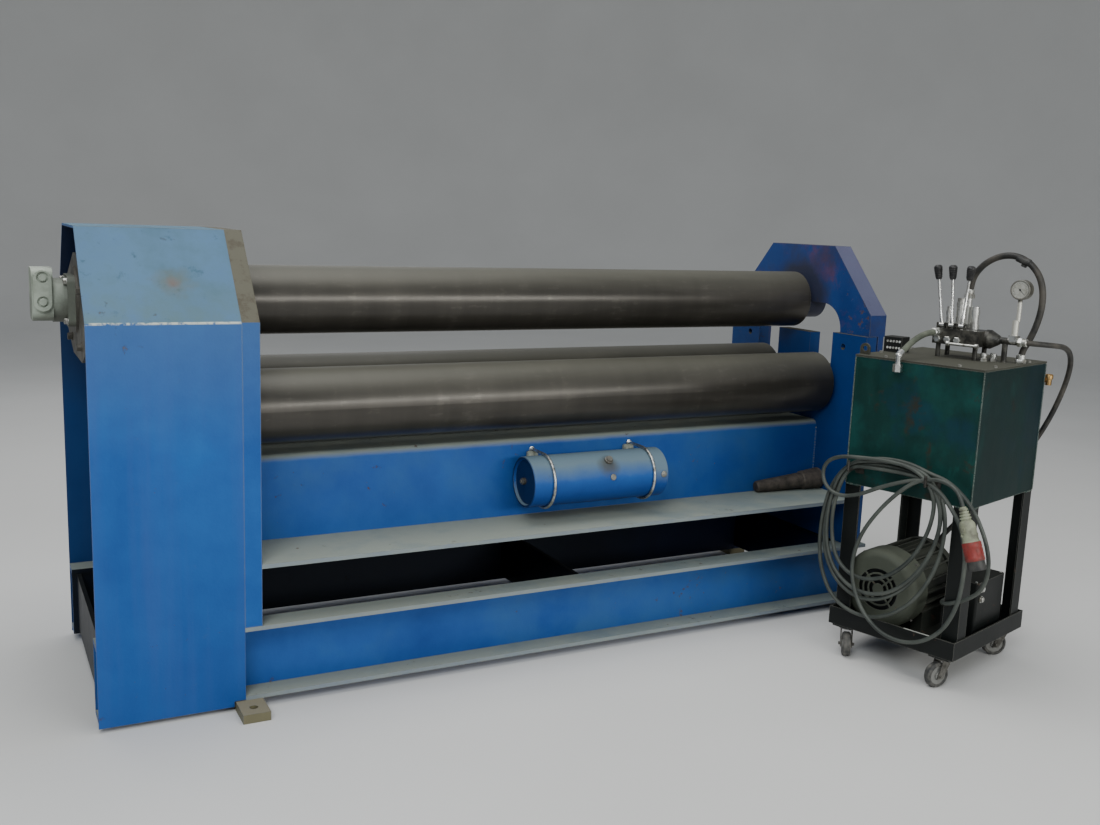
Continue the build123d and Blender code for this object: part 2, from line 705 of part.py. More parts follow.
def make_loose_bar():
    tip_r = BAR_TIP_R
    head_r = BAR_HEAD_R
    tip_out = tip_r + GUIDE_CLEARANCE
    head_out = head_r + GUIDE_CLEARANCE
    tip_x = INNER_X - BAR_TIP_INSET
    start = Vector(tip_x, -BED_HALF_WIDTH - tip_out, SHELF_TOP_Z + tip_out)
    end = Vector(tip_x + BAR_LENGTH, -BED_HALF_WIDTH - head_out, SHELF_TOP_Z + head_out)
    along = (end - start).normalized()
    length = (end - start).length
    collar_start = 0.71 * length
    profile = [
        (0, 0),
        (tip_r - 5, 0),
        (tip_r, 5),
        (tip_r + 0.48 * (head_r - tip_r), collar_start),
        (tip_r + 0.71 * (head_r - tip_r), collar_start + 4),
        (head_r, length),
        (0, length),
    ]
    parts["loose_bar"] = Plane(origin=start, z_dir=along).location * turned_z(profile)


def pack_place():
    return Location((PACK_X, PACK_Y, 0), (0, 0, PACK_TURN))


def castor_fork():
    """Make a castor fork about its swivel axis, trailing along -X."""
    top = TRAY_BOTTOM_Z - 6
    fork = rod_z(24, top - 6, top - GUIDE_CLEARANCE, 0, 0)
    half = WHEEL_WIDTH / 2 + 2
    for side in (-1, 1):
        outline = [(-16, top - 6), (16, top - 6), (-CASTOR_TRAIL + 9, WHEEL_R - 9), (-CASTOR_TRAIL - 9, WHEEL_R - 9)]
        face = Plane.XZ.offset(-side * half) * make_face(Polyline(*outline, close=True))
        fork += extrude(face, amount=3, dir=(0, side, 0))
    fork += rod_y(AXLE_R, -half - 5, half + 5, -CASTOR_TRAIL, WHEEL_R)
    return fork


def castor_wheel():
    half = WHEEL_WIDTH / 2
    bore = AXLE_R + NECK_CLEARANCE
    profile = [
        (bore, -half),
        (12, -half),
        (12, -half + 5),
        (27, -half + 5),
        (29, -half + 1),
        (WHEEL_R - 4, -half + 1),
        (WHEEL_R, -half + 6),
        (WHEEL_R, half - 6),
        (WHEEL_R - 4, half - 1),
        (29, half - 1),
        (27, half - 5),
        (12, half - 5),
        (12, half),
        (bore, half),
    ]
    return Pos(-CASTOR_TRAIL, 0, WHEEL_R) * Rot(90, 0, 0) * turned_z(profile)


def make_pack_frame():
    place = pack_place()
    half_a = TRAY_LENGTH / 2
    half_b = TRAY_WIDTH / 2
    floor_z = TRAY_BOTTOM_Z + TRAY_SHEET
    tray = block(-half_a, half_a, -half_b, half_b, TRAY_BOTTOM_Z, TRAY_BOTTOM_Z + TRAY_HEIGHT)
    tray -= block(
        -half_a + TRAY_SHEET,
        half_a - TRAY_SHEET,
        -half_b + TRAY_SHEET,
        half_b - TRAY_SHEET,
        floor_z,
        TRAY_BOTTOM_Z + TRAY_HEIGHT + 1,
    )
    corner = 0
    for sa in (-1, 1):
        for sb in (-1, 1):
            a = sa * CASTOR_A
            b = sb * CASTOR_B
            tray += block(a - 32, a + 32, b - 32, b + 32, TRAY_BOTTOM_Z - 6, TRAY_BOTTOM_Z)
            corner += 1
            spot = place * Location((a, b, 0), (0, 0, CASTOR_TURNS[corner - 1]))
            parts[f"castor_fork_{corner}"] = spot * castor_fork()
            parts[f"castor_wheel_{corner}"] = spot * castor_wheel()
    parts["pack_tray"] = place * tray

    legs = []
    half = TANK_SIDE / 2
    for sa in (-1, 1):
        for sb in (-1, 1):
            a = sa * half
            b = sb * half
            leg = block(a, a - sa * LEG_ANGLE, b, b - sb * LEG_ANGLE_T, floor_z, TANK_BOTTOM_Z)
            leg += block(a, a - sa * LEG_ANGLE_T, b, b - sb * LEG_ANGLE, floor_z, TANK_BOTTOM_Z)
            legs.append(place * leg)
    parts["pack_legs"] = Compound(legs)


def make_tank():
    place = pack_place()
    half = TANK_SIDE / 2
    tank = block(-half, half, -half, half, TANK_BOTTOM_Z, TANK_TOP_Z)
    inside = half - TANK_WALL
    tank -= block(-inside, inside, -inside, inside, TANK_BOTTOM_Z + TANK_WALL, TANK_TOP_Z + 1)
    parts["tank"] = place * tank
    lid_z = TANK_TOP_Z + LID_T
    lid = block(-half - 2, half + 2, -half - 2, half + 2, TANK_TOP_Z, lid_z)
    eye = block(-182, -176, 168, 206, lid_z, lid_z + 18)
    eye = eye & block(-182, -176, 168, 200, lid_z, lid_z + 18)
    eye += Pos(-179, 184, lid_z + 18) * Rot(0, 90, 0) * Cylinder(16, 6)
    eye -= Pos(-179, 184, lid_z + 18) * Rot(0, 90, 0) * Cylinder(8, 8)
    parts["tank_lid"] = place * (lid + eye)


def make_electric_motor():
    place = pack_place()
    b = ELECTRIC_MOTOR_B
    z = ELECTRIC_MOTOR_Z
    floor_z = TRAY_BOTTOM_Z + TRAY_SHEET
    body_start = ELECTRIC_MOTOR_START_A
    body_end = ELECTRIC_MOTOR_END_A
    core = rod_x(ELECTRIC_MOTOR_R - 12, body_start, body_end, b, z)
    fin_count = 20
    for k in range(fin_count):
        fin = block(body_start + 6, body_end - 12, -2, 2, ELECTRIC_MOTOR_R - 16, ELECTRIC_MOTOR_R)
        core += Pos(0, b, z) * Rot(k * 360.0 / fin_count, 0, 0) * fin
    core += rod_x(ELECTRIC_MOTOR_R - 2, body_end - 12, body_end + 14, b, z)
    for side in (-1, 1):
        core += block(
            body_start + 35, body_end - 35, b + side * 62, b + side * 98, floor_z, floor_z + 60
        )
    parts["electric_motor"] = place * core

    cowl_start = MOTOR_COWL_START_A
    cowl = rod_x(ELECTRIC_MOTOR_R + 4, cowl_start, body_start + 8, b, z)
    rim = cowl.edges().group_by(Axis.X)[0]
    cowl = fillet(rim, 26)
    cowl -= rod_x(ELECTRIC_MOTOR_R + 1, body_start - 4, body_start + 9, b, z)
    bar_half = 2.5
    slot_depth = 9.0
    rings = ((30.0, 18.0), (47.0, 35.0), (64.0, 52.0))
    for outer_r, inner_r in rings:
        ring = rod_x(outer_r, cowl_start - 1, cowl_start + slot_depth, b, z)
        ring -= rod_x(inner_r, cowl_start - 2, cowl_start + slot_depth + 1, b, z)
        for k in range(4):
            spoke = block(cowl_start - 2, cowl_start + slot_depth + 1, -bar_half, bar_half, 0, 100)
            ring -= Pos(0, b, z) * Rot(45 + k * 90.0, 0, 0) * spoke
        cowl -= ring
    parts["motor_cowl"] = place * cowl

    bell = [
        (body_end + 14, 0),
        (body_end + 14, 96),
        (body_end + 26, 96),
        (body_end + 56, 62),
        (body_end + 64, 62),
        (body_end + 64, 0),
    ]
    pump = turned_x(bell, b, z)
    pump += block(body_end + 60, body_end + 118, b - 44, b + 44, z - 55, z + 45)
    pump += rod_z(12, z + 44, PUMP_PORT_Z, PUMP_PORT_A, PUMP_PORT_B)
    parts["gear_pump"] = place * pump

    box_end = STARTER_BOX_A + STARTER_BOX_LENGTH
    box_back = STARTER_BOX_B + STARTER_BOX_WIDTH
    box = block(STARTER_BOX_A, box_end, STARTER_BOX_B, box_back, floor_z, STARTER_BOX_TOP_Z)
    box = fillet(box.edges().filter_by(Axis.Z), 8)
    box += rod_x(GLAND_R, STARTER_BOX_A - GLAND_LENGTH, STARTER_BOX_A, GLAND_B, GLAND_Z)
    parts["starter_box"] = place * box


def make_valve():
    place = pack_place()
    lid_z = TANK_TOP_Z + LID_T
    block_low = lid_z + VALVE_STANDOFF
    block_high = block_low + VALVE_H
    body = block(-15, 75, VALVE_RIGHT_B, VALVE_LEFT_B, block_low, block_high)
    for a in (0, 60):
        for b in (VALVE_RIGHT_B + 14, VALVE_LEFT_B - 14):
            body += rod_z(7, lid_z, block_low, a, b)
    for b, radius, height in ((46, 7, 63), (9, 13, 90), (-36, 12, 68)):
        body += rod_z(radius, block_high, block_high + height, 52, b)
        body += rod_z(radius + 3, block_high, block_high + 16, 52, b)
        body += rod_z(radius + 2, block_high + height - 26, block_high + height - 12, 52, b)
    body += rod_z(9, block_high, block_high + 92, RETURN_PORT_A, RETURN_PORT_B)
    tee_z = block_low + VALVE_H / 2
    cone = [(0, 0), (28, 0), (28, 12), (14, 38), (10, 42), (10, 95), (0, 95)]
    body += Pos(40, VALVE_RIGHT_B, tee_z) * Rot(90, 0, 0) * turned_z(cone)
    body += block(28, 52, -178, -154, tee_z, tee_z + 18)
    body += rod_z(8, lid_z, tee_z - 3, 40, -141)

    pivot_z = block_high + 9
    half_boss = 8.0
    leans = (9.8, 4.3, -4.2)
    knob = [(0, 137), (8, 137), (12.5, 152), (12.5, 172), (8, 180), (0, 180)]
    for k, lean in enumerate(leans):
        b = LEVER_FIRST_B - LEVER_PITCH * k
        for side in (-1, 1):
            near = b + side * (half_boss + GUIDE_CLEARANCE)
            body += block(-3, 13, near, near + side * 5, block_high - 1, pivot_z + 7)
            hole_r = LEVER_PIVOT_R + NECK_CLEARANCE
            body -= rod_y(hole_r, near - side, near + side * 6, 5, pivot_z)
        stick = rod_z(4, 0, 140, 0, 0) + turned_z(knob)
        lever = Rot(-lean, 0, 0) * stick
        lever += rod_y(7, -half_boss, half_boss, 0, 0)
        lever += rod_y(LEVER_PIVOT_R, -half_boss - 5, half_boss + 5, 0, 0)
        parts[f"control_lever_{k + 1}"] = place * (Pos(5, b, pivot_z) * lever)
    parts["valve_block"] = place * body

    gauge = rod_z(9, tee_z + 18, tee_z + 62, 40, -166)
    gauge += rod_z(6, tee_z + 60, tee_z + 124, 40, -172)
    gauge += Pos(40, -174, tee_z + 151) * Rot(0, 90, 0) * Cylinder(29, 24)
    parts["pressure_gauge"] = place * gauge
    parts["manifold_block"] = place * block(-46, 0, 140, 200, lid_z, lid_z + 48)


def make_hoses():
    place = pack_place()
    lid_z = TANK_TOP_Z + LID_T
    port_z = lid_z + VALVE_STANDOFF + VALVE_H + 92
    loop = [
        (RETURN_PORT_A, RETURN_PORT_B, port_z),
        (RETURN_PORT_A, RETURN_PORT_B, port_z + 34),
        (62, -18, port_z + 72),
        (62, -46, port_z + 106),
        (63, -88, port_z + 129),
        (64, -134, port_z + 133),
        (66, -176, port_z + 115),
        (69, -207, port_z + 80),
        (72, -221, port_z + 36),
        (74, -222, port_z - 14),
        (73, -213, port_z - 64),
        (70, -197, port_z - 112),
        (66, -180, port_z - 146),
        (66, -180, lid_z),
    ]
    parts["return_hose"] = place * tube("return_hose", loop, RETURN_HOSE_D)

    tee_z = lid_z + VALVE_STANDOFF + VALVE_H / 2
    pressure = [
        (40, -180, tee_z),
        (40, -212, tee_z),
        (56, -245, tee_z - 1),
        (92, -266, tee_z - 4),
        (140, -274, tee_z - 10),
        (187, -272, tee_z - 30),
        (222, -264, tee_z - 66),
        (240, -252, tee_z - 112),
        (248, -236, tee_z - 164),
        (251, -216, tee_z - 222),
        (251, -190, tee_z - 284),
        (249, -158, tee_z - 346),
        (246, -120, tee_z - 406),
        (240, -80, tee_z - 464),
        (232, -38, tee_z - 520),
        (221, 2, tee_z - 574),
        (203, 38, tee_z - 626),
        (PUMP_PORT_A, PUMP_PORT_B, PUMP_PORT_Z + 38),
        (PUMP_PORT_A, PUMP_PORT_B, PUMP_PORT_Z),
    ]
    parts["pressure_hose"] = place * tube("pressure_hose", pressure, PRESSURE_HOSE_D)

    end = (-206, 50, lid_z + 23)
    short = [
        (-15, 45, lid_z + 74),
        (-46, 45, lid_z + 74),
        (-86, 46, lid_z + 71),
        (-127, 47.5, lid_z + 61),
        (-166, 49, lid_z + 45),
        end,
    ]
    parts["short_hose"] = place * tube("short_hose", short, SHORT_HOSE_D)
    last_run = Vector(*end) - Vector(*short[-2])
    socket = Plane(origin=end, z_dir=last_run) * Pos(0, 0, 9) * Cylinder(10, 18)
    corner = Vector(*end) + last_run.normalized() * 18
    fitting = socket + Pos(corner.X, corner.Y, corner.Z) * Sphere(8)
    fitting += rod_z(8, corner.Z - 30, corner.Z, corner.X, corner.Y)
    nut = Pos(corner.X, corner.Y, corner.Z - 48) * extrude(RegularPolygon(14, 6), amount=22)
    parts["short_hose_fitting"] = place * (fitting + nut)


def make_cable():
    """Hang the coiled supply cable on two hooks of the tank, with its plug."""
    place = pack_place()
    outline = [
        (-150, COIL_TOP_Z),
        (200, COIL_TOP_Z),
        (244, 560),
        (262, 420),
        (252, 250),
        (190, 150),
        (60, 108),
        (-90, 106),
        (-172, 155),
        (-226, 310),
        (-222, 430),
        (-190, 540),
    ]
    outer = make_face(Polyline(*outline, close=True))
    inner = offset(outer, amount=-COIL_BAND, kind=Kind.INTERSECTION)
    outer = fillet(outer.vertices(), 30)
    inner = fillet(inner.vertices(), 12)
    ring = Plane.YZ.offset(COIL_FRONT_A) * (outer - inner)
    coil = extrude(ring, amount=COIL_BACK_A - COIL_FRONT_A, dir=(1, 0, 0))
    parts["cable_coil"] = place * coil

    hooks = []
    bar_z = COIL_TOP_Z - COIL_BAND - HOOK_R - GUIDE_CLEARANCE
    face_a = -TANK_SIDE / 2
    tip_a = COIL_FRONT_A - HOOK_R - 3
    for b in (-92, 155):
        hook = block(face_a - 4, face_a, b - 14, b + 14, bar_z - 18, bar_z + 18)
        hook += rod_x(HOOK_R, tip_a, face_a - 3, b, bar_z)
        hook += Pos(tip_a, b, bar_z) * Sphere(HOOK_R)
        hook += rod_z(HOOK_R, bar_z, bar_z + 30, tip_a, b)
        hooks.append(place * hook)
    parts["cable_hooks"] = Compound(hooks)

    lead = [
        (-236, -135, 607),
        (-236, -168, 592),
        (-234, -204, 567),
        (-231, -231, 535),
        (-229, -251, 498),
        (-227, -267, 460),
        (-226, -277, 422),
        (-224, -279, 382),
        (-222, -272, 345),
        (-219, -255, 314),
        (-216, -230, 290),
        (-217, -197, 271),
        (-217, -164, 257),
        (-205, -141.3, 249),
        (-182.2, -128.2, 245.5),
        (-130, GLAND_B, GLAND_Z),
        (STARTER_BOX_A - GLAND_LENGTH, GLAND_B, GLAND_Z),
    ]
    parts["cable_lead"] = place * tube("cable_lead", lead, CABLE_D)
    plug_lead = [
        (-250, -100, 618),
        (-258, -132, 621),
        (-268, -164, 616),
        (-278, -192, 601),
        (-284, -211, 580),
        (-286, -222, 553),
    ]
    parts["plug_lead"] = place * tube("plug_lead", plug_lead, CABLE_D)
    top = Vector(*plug_lead[-1])
    profile = [
        (0, 0),
        (9, 0),
        (12, 12),
        (15, 36),
        (21, 46),
        (22, 96),
        (26, 102),
        (26, 156),
        (23, 162),
        (0, 162),
    ]
    along = top - Vector(*plug_lead[-2])
    parts["cable_plug"] = place * (Plane(origin=top, z_dir=along).location * turned_z(profile))


def build_all():
    make_base()
    make_side_plates()
    make_bed()
    make_left_cover()
    make_rolls()
    make_lift()
    make_drop_end()
    make_drive()
    make_reservoir()
    make_loose_bar()
    make_pack_frame()
    make_tank()
    make_electric_motor()
    make_valve()
    make_hoses()
    make_cable()


build_all()
os.makedirs("parts", exist_ok=True)
for name, shape in parts.items():
    export_step(shape, f"parts/{name}.step")
print(len(parts), "parts written")
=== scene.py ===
import math
import random

import bmesh
import bpy
from mathutils import Matrix, Vector


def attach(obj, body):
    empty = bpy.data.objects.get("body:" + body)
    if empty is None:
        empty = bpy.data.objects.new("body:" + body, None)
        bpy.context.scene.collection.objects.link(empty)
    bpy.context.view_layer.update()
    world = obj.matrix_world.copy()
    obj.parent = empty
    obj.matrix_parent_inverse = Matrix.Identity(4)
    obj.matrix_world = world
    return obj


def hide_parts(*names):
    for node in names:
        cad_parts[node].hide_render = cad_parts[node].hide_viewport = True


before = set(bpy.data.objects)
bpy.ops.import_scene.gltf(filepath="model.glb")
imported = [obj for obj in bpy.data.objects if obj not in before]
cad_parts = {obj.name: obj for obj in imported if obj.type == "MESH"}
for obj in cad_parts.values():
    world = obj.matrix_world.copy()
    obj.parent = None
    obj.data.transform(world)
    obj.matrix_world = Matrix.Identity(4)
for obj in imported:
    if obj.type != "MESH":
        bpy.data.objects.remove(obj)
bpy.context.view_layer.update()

# The camera stands before the left cover at chest height, turned right along the rolls.
# Its place, lens and slight roll are those of the photograph.
CAMERA_PLACE = Vector((-1.6687, -3.1668, 1.3069))
CAMERA_YAW = 0.4887
CAMERA_DOWN = 0.1731
CAMERA_ROLL = 0.0367
CAMERA_LENS = 36.51

scene = bpy.context.scene
forward = Vector((
    math.sin(CAMERA_YAW) * math.cos(CAMERA_DOWN),
    math.cos(CAMERA_YAW) * math.cos(CAMERA_DOWN),
    -math.sin(CAMERA_DOWN),
))
level_right = Vector((math.cos(CAMERA_YAW), -math.sin(CAMERA_YAW), 0))
level_up = level_right.cross(forward)
right = level_right * math.cos(CAMERA_ROLL) + level_up * math.sin(CAMERA_ROLL)
up = right.cross(forward)
camera = bpy.data.objects.new("camera", bpy.data.cameras.new("camera"))
camera.data.lens = CAMERA_LENS
camera.data.sensor_width = 36
camera.data.clip_end = 60
turn = Matrix((right, up, -forward)).transposed().to_4x4()
camera.matrix_world = Matrix.Translation(CAMERA_PLACE) @ turn
scene.collection.objects.link(camera)
scene.camera = camera


# The supply cable is one 12 mm rubber cable of five cores, about 7.9 m long.
# From the gland of the starter box it rises to two hooks under the tank, hangs there in
# uneven turns of different sizes and one small bight, and ends in a cream and red plug.
CABLE = 0.012
PACK_PLACE = Matrix.Translation((0.953, -0.786, 0)) @ Matrix.Rotation(math.radians(16), 4, "Z")


def on_pack(a, b, z):
    """A point in millimetres along the power pack's own sides, as metres in the frame."""
    return PACK_PLACE @ (Vector((a, b, z)) / 1000)


class Wire:
    """A socket of a finish. Arithmetic on it adds Math nodes."""

    def __init__(self, finish, socket):
        self.finish = finish
        self.socket = socket

    def math(self, operation, *values):
        made = self.finish.node("ShaderNodeMath", {"operation": operation}, dict(enumerate(values)))
        return Wire(self.finish, made.outputs[0])

    def __add__(self, other):
        return self.math("ADD", self, other)

    __radd__ = __add__

    def __sub__(self, other):
        return self.math("SUBTRACT", self, other)

    def __rsub__(self, other):
        return self.math("SUBTRACT", other, self)

    def __mul__(self, other):
        return self.math("MULTIPLY", self, other)

    __rmul__ = __mul__

    def __or__(self, other):
        return self.math("MAXIMUM", self, other)

    def __abs__(self):
        return self.math("ABSOLUTE", self)

    def over(self, low, high):
        """0 below low, 1 above high, and a straight ramp between."""
        made = self.finish.node("ShaderNodeMapRange", {}, {
            "Value": self, "From Min": low, "From Max": high,
        })
        return Wire(self.finish, made.outputs["Result"])


class Finish:
    """A material of nodes on one Principled shader, whose constant sockets are named here.

    Its colour is set once by blend and then covered by one coat after another.
    """

    def __init__(self, name, **constants):
        self.material = bpy.data.materials.new(name)
        self.material.use_nodes = True
        self.tree = self.material.node_tree
        self.shader = self.tree.nodes["Principled BSDF"]
        for socket, value in constants.items():
            self.shader.inputs[socket.replace("_", " ")].default_value = value
        self.place = self.node("ShaderNodeTexCoord", {}, {}).outputs["Object"]

    def node(self, kind, settings, sockets):
        """Adds a node of a kind: its settings first, then the values or links of its sockets."""
        made = self.tree.nodes.new(kind)
        for setting, value in settings.items():
            setattr(made, setting, value)
        for socket, value in sockets.items():
            if isinstance(value, Wire):
                value = value.socket
            if isinstance(value, bpy.types.NodeSocket):
                self.tree.links.new(value, made.inputs[socket])
            else:
                made.inputs[socket].default_value = value
        return made

    def noise(self, scale, detail=4.0, stretch=(1, 1, 1), rough=0.55, twist=0.0):
        """Noise over the object's own metres, from 0 to 1; stretch above 1 makes it finer that way."""
        spread = self.node("ShaderNodeMapping", {}, {"Vector": self.place, "Scale": stretch})
        made = self.node("ShaderNodeTexNoise", {}, {
            "Vector": spread.outputs[0], "Scale": scale, "Detail": detail,
            "Roughness": rough, "Distortion": twist,
        })
        return Wire(self, made.outputs["Fac"])

    def facing(self, axis):
        """How far the surface faces along one of the object's axes, from -1 to 1."""
        normal = self.node("ShaderNodeTexCoord", {}, {}).outputs["Normal"]
        return Wire(self, self.node("ShaderNodeSeparateXYZ", {}, {"Vector": normal}).outputs[axis])

    def along(self, axis):
        """The place along one of the object's axes in metres."""
        return Wire(self, self.node("ShaderNodeSeparateXYZ", {}, {"Vector": self.place}).outputs[axis])

    def past(self, start, way):
        """The distance in metres that a point lies past a start, along a way."""
        made = self.node("ShaderNodeVectorMath", {"operation": "DOT_PRODUCT"}, {0: self.place, 1: way})
        return Wire(self, made.outputs["Value"]) - Vector(start).dot(Vector(way))

    def near(self, centre, radius, squash=(1, 1, 1)):
        """1 at a place on the object, falling to 0 at the radius; squash 0 ignores an axis."""
        flat = self.node("ShaderNodeVectorMath", {"operation": "MULTIPLY"}, {0: self.place, 1: squash})
        goal = [c * s for c, s in zip(centre, squash)]
        gap = self.node("ShaderNodeVectorMath", {"operation": "DISTANCE"}, {
            0: flat.outputs[0], 1: goal,
        })
        return 1 - Wire(self, gap.outputs["Value"]).over(0, radius)

    def edges(self, width):
        """1 on sharp outer edges, falling to 0 within about the width."""
        soft = self.node("ShaderNodeBevel", {"samples": 4}, {"Radius": width})
        true = self.node("ShaderNodeNewGeometry", {}, {})
        dot = self.node("ShaderNodeVectorMath", {"operation": "DOT_PRODUCT"}, {
            0: soft.outputs["Normal"], 1: true.outputs["Normal"],
        })
        return 1 - Wire(self, dot.outputs["Value"]).over(0.72, 0.98)

    def blend(self, mask, under, over):
        """A colour that goes from under to over as the mask goes from 0 to 1."""
        first, second = (c if isinstance(c, bpy.types.NodeSocket) else (*c, 1) for c in (under, over))
        # The colours of a Mix node are its sockets 6 and 7, and the mixed one is its output 2.
        mix = self.node("ShaderNodeMix", {"data_type": "RGBA"}, {0: mask, 6: first, 7: second})
        return mix.outputs[2]

    def coat(self, mask, over):
        """Lays a colour over the one that is there, as far as the mask says."""
        self.colour = self.blend(mask, self.colour, over)

    def wear(self, bump, depth, roughness=None, metallic=None):
        """Feeds the colour and what else changes over the surface to the shader."""
        relief = self.node("ShaderNodeBump", {}, {"Height": bump, "Distance": depth, "Strength": 0.7})
        feeds = {
            "Base Color": self.colour, "Roughness": roughness, "Metallic": metallic,
            "Normal": relief.outputs["Normal"],
        }
        for name, value in feeds.items():
            if value is not None:
                source = value.socket if isinstance(value, Wire) else value
                self.tree.links.new(source, self.shader.inputs[name])


def line(name, points, diameter, finish):
    """A round cord on a smooth curve through the frame, points in metres."""
    data = bpy.data.curves.new(name, "CURVE")
    data.dimensions = "3D"
    data.bevel_depth = diameter / 2
    data.bevel_resolution = 5
    data.resolution_u = 8
    data.use_fill_caps = True
    spline = data.splines.new("NURBS")
    spline.points.add(len(points) - 1)
    for knot, point in zip(spline.points, points):
        knot.co = (*point, 1)
    spline.order_u = 3
    spline.use_endpoint_u = True
    data.materials.append(finish.material)
    made = bpy.data.objects.new(name, data)
    scene.collection.objects.link(made)
    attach(made, "frame")
    return made


sheath = Finish("cable_sheath", Specular_IOR_Level=0.45)
grime = sheath.noise(9, 5)
scuff = sheath.noise(140, 2)
sheath.colour = sheath.blend(grime.over(0.35, 0.7), (0.024, 0.030, 0.026), (0.074, 0.084, 0.072))
sheath.wear(roughness=0.36 + 0.3 * scuff, bump=scuff, depth=0.0004)

GLAND = (-76, -128, 245)
PLUG_START = (-285, -216, 565)
LEAD = [
    GLAND, (-130, -128, 245), (-174, -129, 246), (-204, -146, 250), (-219, -174, 260),
    (-219, -204, 275), (-217, -232, 293), (-219, -255, 314), (-222, -272, 345), (-224, -279, 382),
    (-226, -277, 422), (-227, -267, 460), (-229, -251, 498), (-231, -231, 535), (-233, -204, 570),
    (-234, -168, 600), (-232, -130, 618),
]
BACK_TURNS = [
    (-92, 624), (-28, 643), (42, 646), (112, 634), (158, 617), (202, 578), (234, 520), (252, 440),
    (257, 350), (243, 256), (190, 172), (98, 146), (16, 166), (-62, 228), (-114, 312), (-142, 400),
    (-148, 492), (-130, 562),
    (-92, 607), (-28, 622), (42, 626), (112, 618), (156, 607), (192, 572), (221, 510), (238, 440),
    (241, 365), (226, 296), (180, 232), (112, 202), (38, 214), (-32, 262), (-88, 335), (-121, 420),
    (-134, 500), (-124, 560),
]
MIDDLE_TURNS = [
    (-92, 620), (-28, 638), (42, 641), (112, 629), (157, 616), (196, 576), (218, 512), (229, 435),
    (225, 353), (198, 282), (137, 233), (67, 226), (-3, 250), (-68, 312), (-112, 385), (-137, 468),
    (-132, 545),
    (-92, 606), (-28, 615), (42, 614), (108, 611), (153, 606), (184, 568), (204, 502), (212, 440),
    (206, 372), (186, 312), (138, 272), (72, 270), (2, 302), (-62, 368), (-101, 450), (-116, 530),
]
FRONT_TURNS = [
    (-108, 582), (-74, 622), (-20, 642), (62, 643), (136, 637), (194, 630), (238, 608), (252, 566),
    (232, 526), (186, 508), (122, 524), (58, 560), (-10, 590), (-76, 612), (-132, 588), (-176, 541),
    (-208, 490), (-225, 425), (-226, 350), (-216, 268), (-178, 182), (-100, 124), (-10, 118), (62, 160),
    (108, 232), (124, 318), (100, 412), (43, 502), (-18, 570), (-68, 608), (-120, 621),
]
PLUG_LEAD = [(-268, -158, 618), (-277, -187, 608), (-283, -206, 590), PLUG_START]

# Each layer of turns hangs a little farther out from the tank than the one before it.
LAYERS = ((BACK_TURNS, -231.5, -234), (MIDDLE_TURNS, -243, -245), (FRONT_TURNS, -253, -262))
cable_route = list(LEAD)
for turns, first, last in LAYERS:
    outward = (last - first) / (len(turns) - 1)
    cable_route += [(first + outward * k, b, z) for k, (b, z) in enumerate(turns)]
cable_route += PLUG_LEAD
supply_cable = line("supply_cable", [on_pack(*p) for p in cable_route], CABLE, sheath)
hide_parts("cable_lead", "cable_coil", "plug_lead")


def surface(name, build, finish, body="frame", smooth=35):
    """A piece from a mesh that build fills, riding on a body."""
    shell = bmesh.new()
    build(shell)
    bmesh.ops.recalc_face_normals(shell, faces=shell.faces)
    data = bpy.data.meshes.new(name)
    shell.to_mesh(data)
    shell.free()
    data.materials.append(finish.material)
    data.shade_smooth()
    data.set_sharp_from_angle(angle=math.radians(smooth))
    made = bpy.data.objects.new(name, data)
    scene.collection.objects.link(made)
    if body:
        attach(made, body)
    return made


def aim(start, towards):
    """A place at start whose Z points towards a direction."""
    return Matrix.Translation(start) @ Vector(towards).to_track_quat("Z", "Y").to_matrix().to_4x4()


def pack_way(a, b, z):
    """A direction along the power pack's own sides, in the frame."""
    return PACK_PLACE.to_3x3() @ Vector((a, b, z))


def lathe(shell, place, profile, steps=40):
    """Turns a profile of (radius, height) round Z of the place, closed at radius 0."""
    rings = []
    for radius, height in profile:
        if radius < 1e-6:
            rings.append([shell.verts.new(place @ Vector((0, 0, height)))])
        else:
            turns = [math.tau * k / steps for k in range(steps)]
            rings.append([
                shell.verts.new(place @ Vector((radius * math.cos(turn), radius * math.sin(turn), height)))
                for turn in turns
            ])
    for low, high in zip(rings, rings[1:]):
        for k in range(steps):
            n = (k + 1) % steps
            if len(low) == 1 and len(high) > 1:
                shell.faces.new((low[0], high[k], high[n]))
            elif len(high) == 1 and len(low) > 1:
                shell.faces.new((low[k], low[n], high[0]))
            elif len(low) > 1:
                shell.faces.new((low[k], low[n], high[n], high[k]))


def turned(shell, place, rings, steps=40):
    """A solid turned part through rings of (radius, height), closed flat at both ends."""
    lathe(shell, place, [(0, rings[0][1]), *rings, (0, rings[-1][1])], steps)


def slab(shell, place, low, high, chamfer):
    """A plate between two corners of a place, with a small chamfer all round."""
    size = [h - l for l, h in zip(low, high)]
    middle = [(h + l) / 2 for l, h in zip(low, high)]
    spread = place @ Matrix.Translation(middle) @ Matrix.Diagonal((*size, 1))
    made = bmesh.ops.create_cube(shell, size=1, matrix=spread)
    corner_edges = dict.fromkeys(edge for vert in made["verts"] for edge in vert.link_edges)
    bmesh.ops.bevel(shell, geom=list(corner_edges), offset=chamfer, segments=2, affect="EDGES")


def grimed(name, clean, dirty, grime, reach, rough, depth, grain=None, **constants):
    """A finish that goes from clean to dirty where its grime lies, and is rougher there."""
    finish = Finish(name, **constants)
    dirt = finish.noise(*grime)
    finish.colour = finish.blend(dirt.over(*reach), clean, dirty)
    finish.wear(
        roughness=rough[0] + rough[1] * dirt,
        bump=finish.noise(*grain) if grain else dirt,
        depth=depth,
    )
    return finish


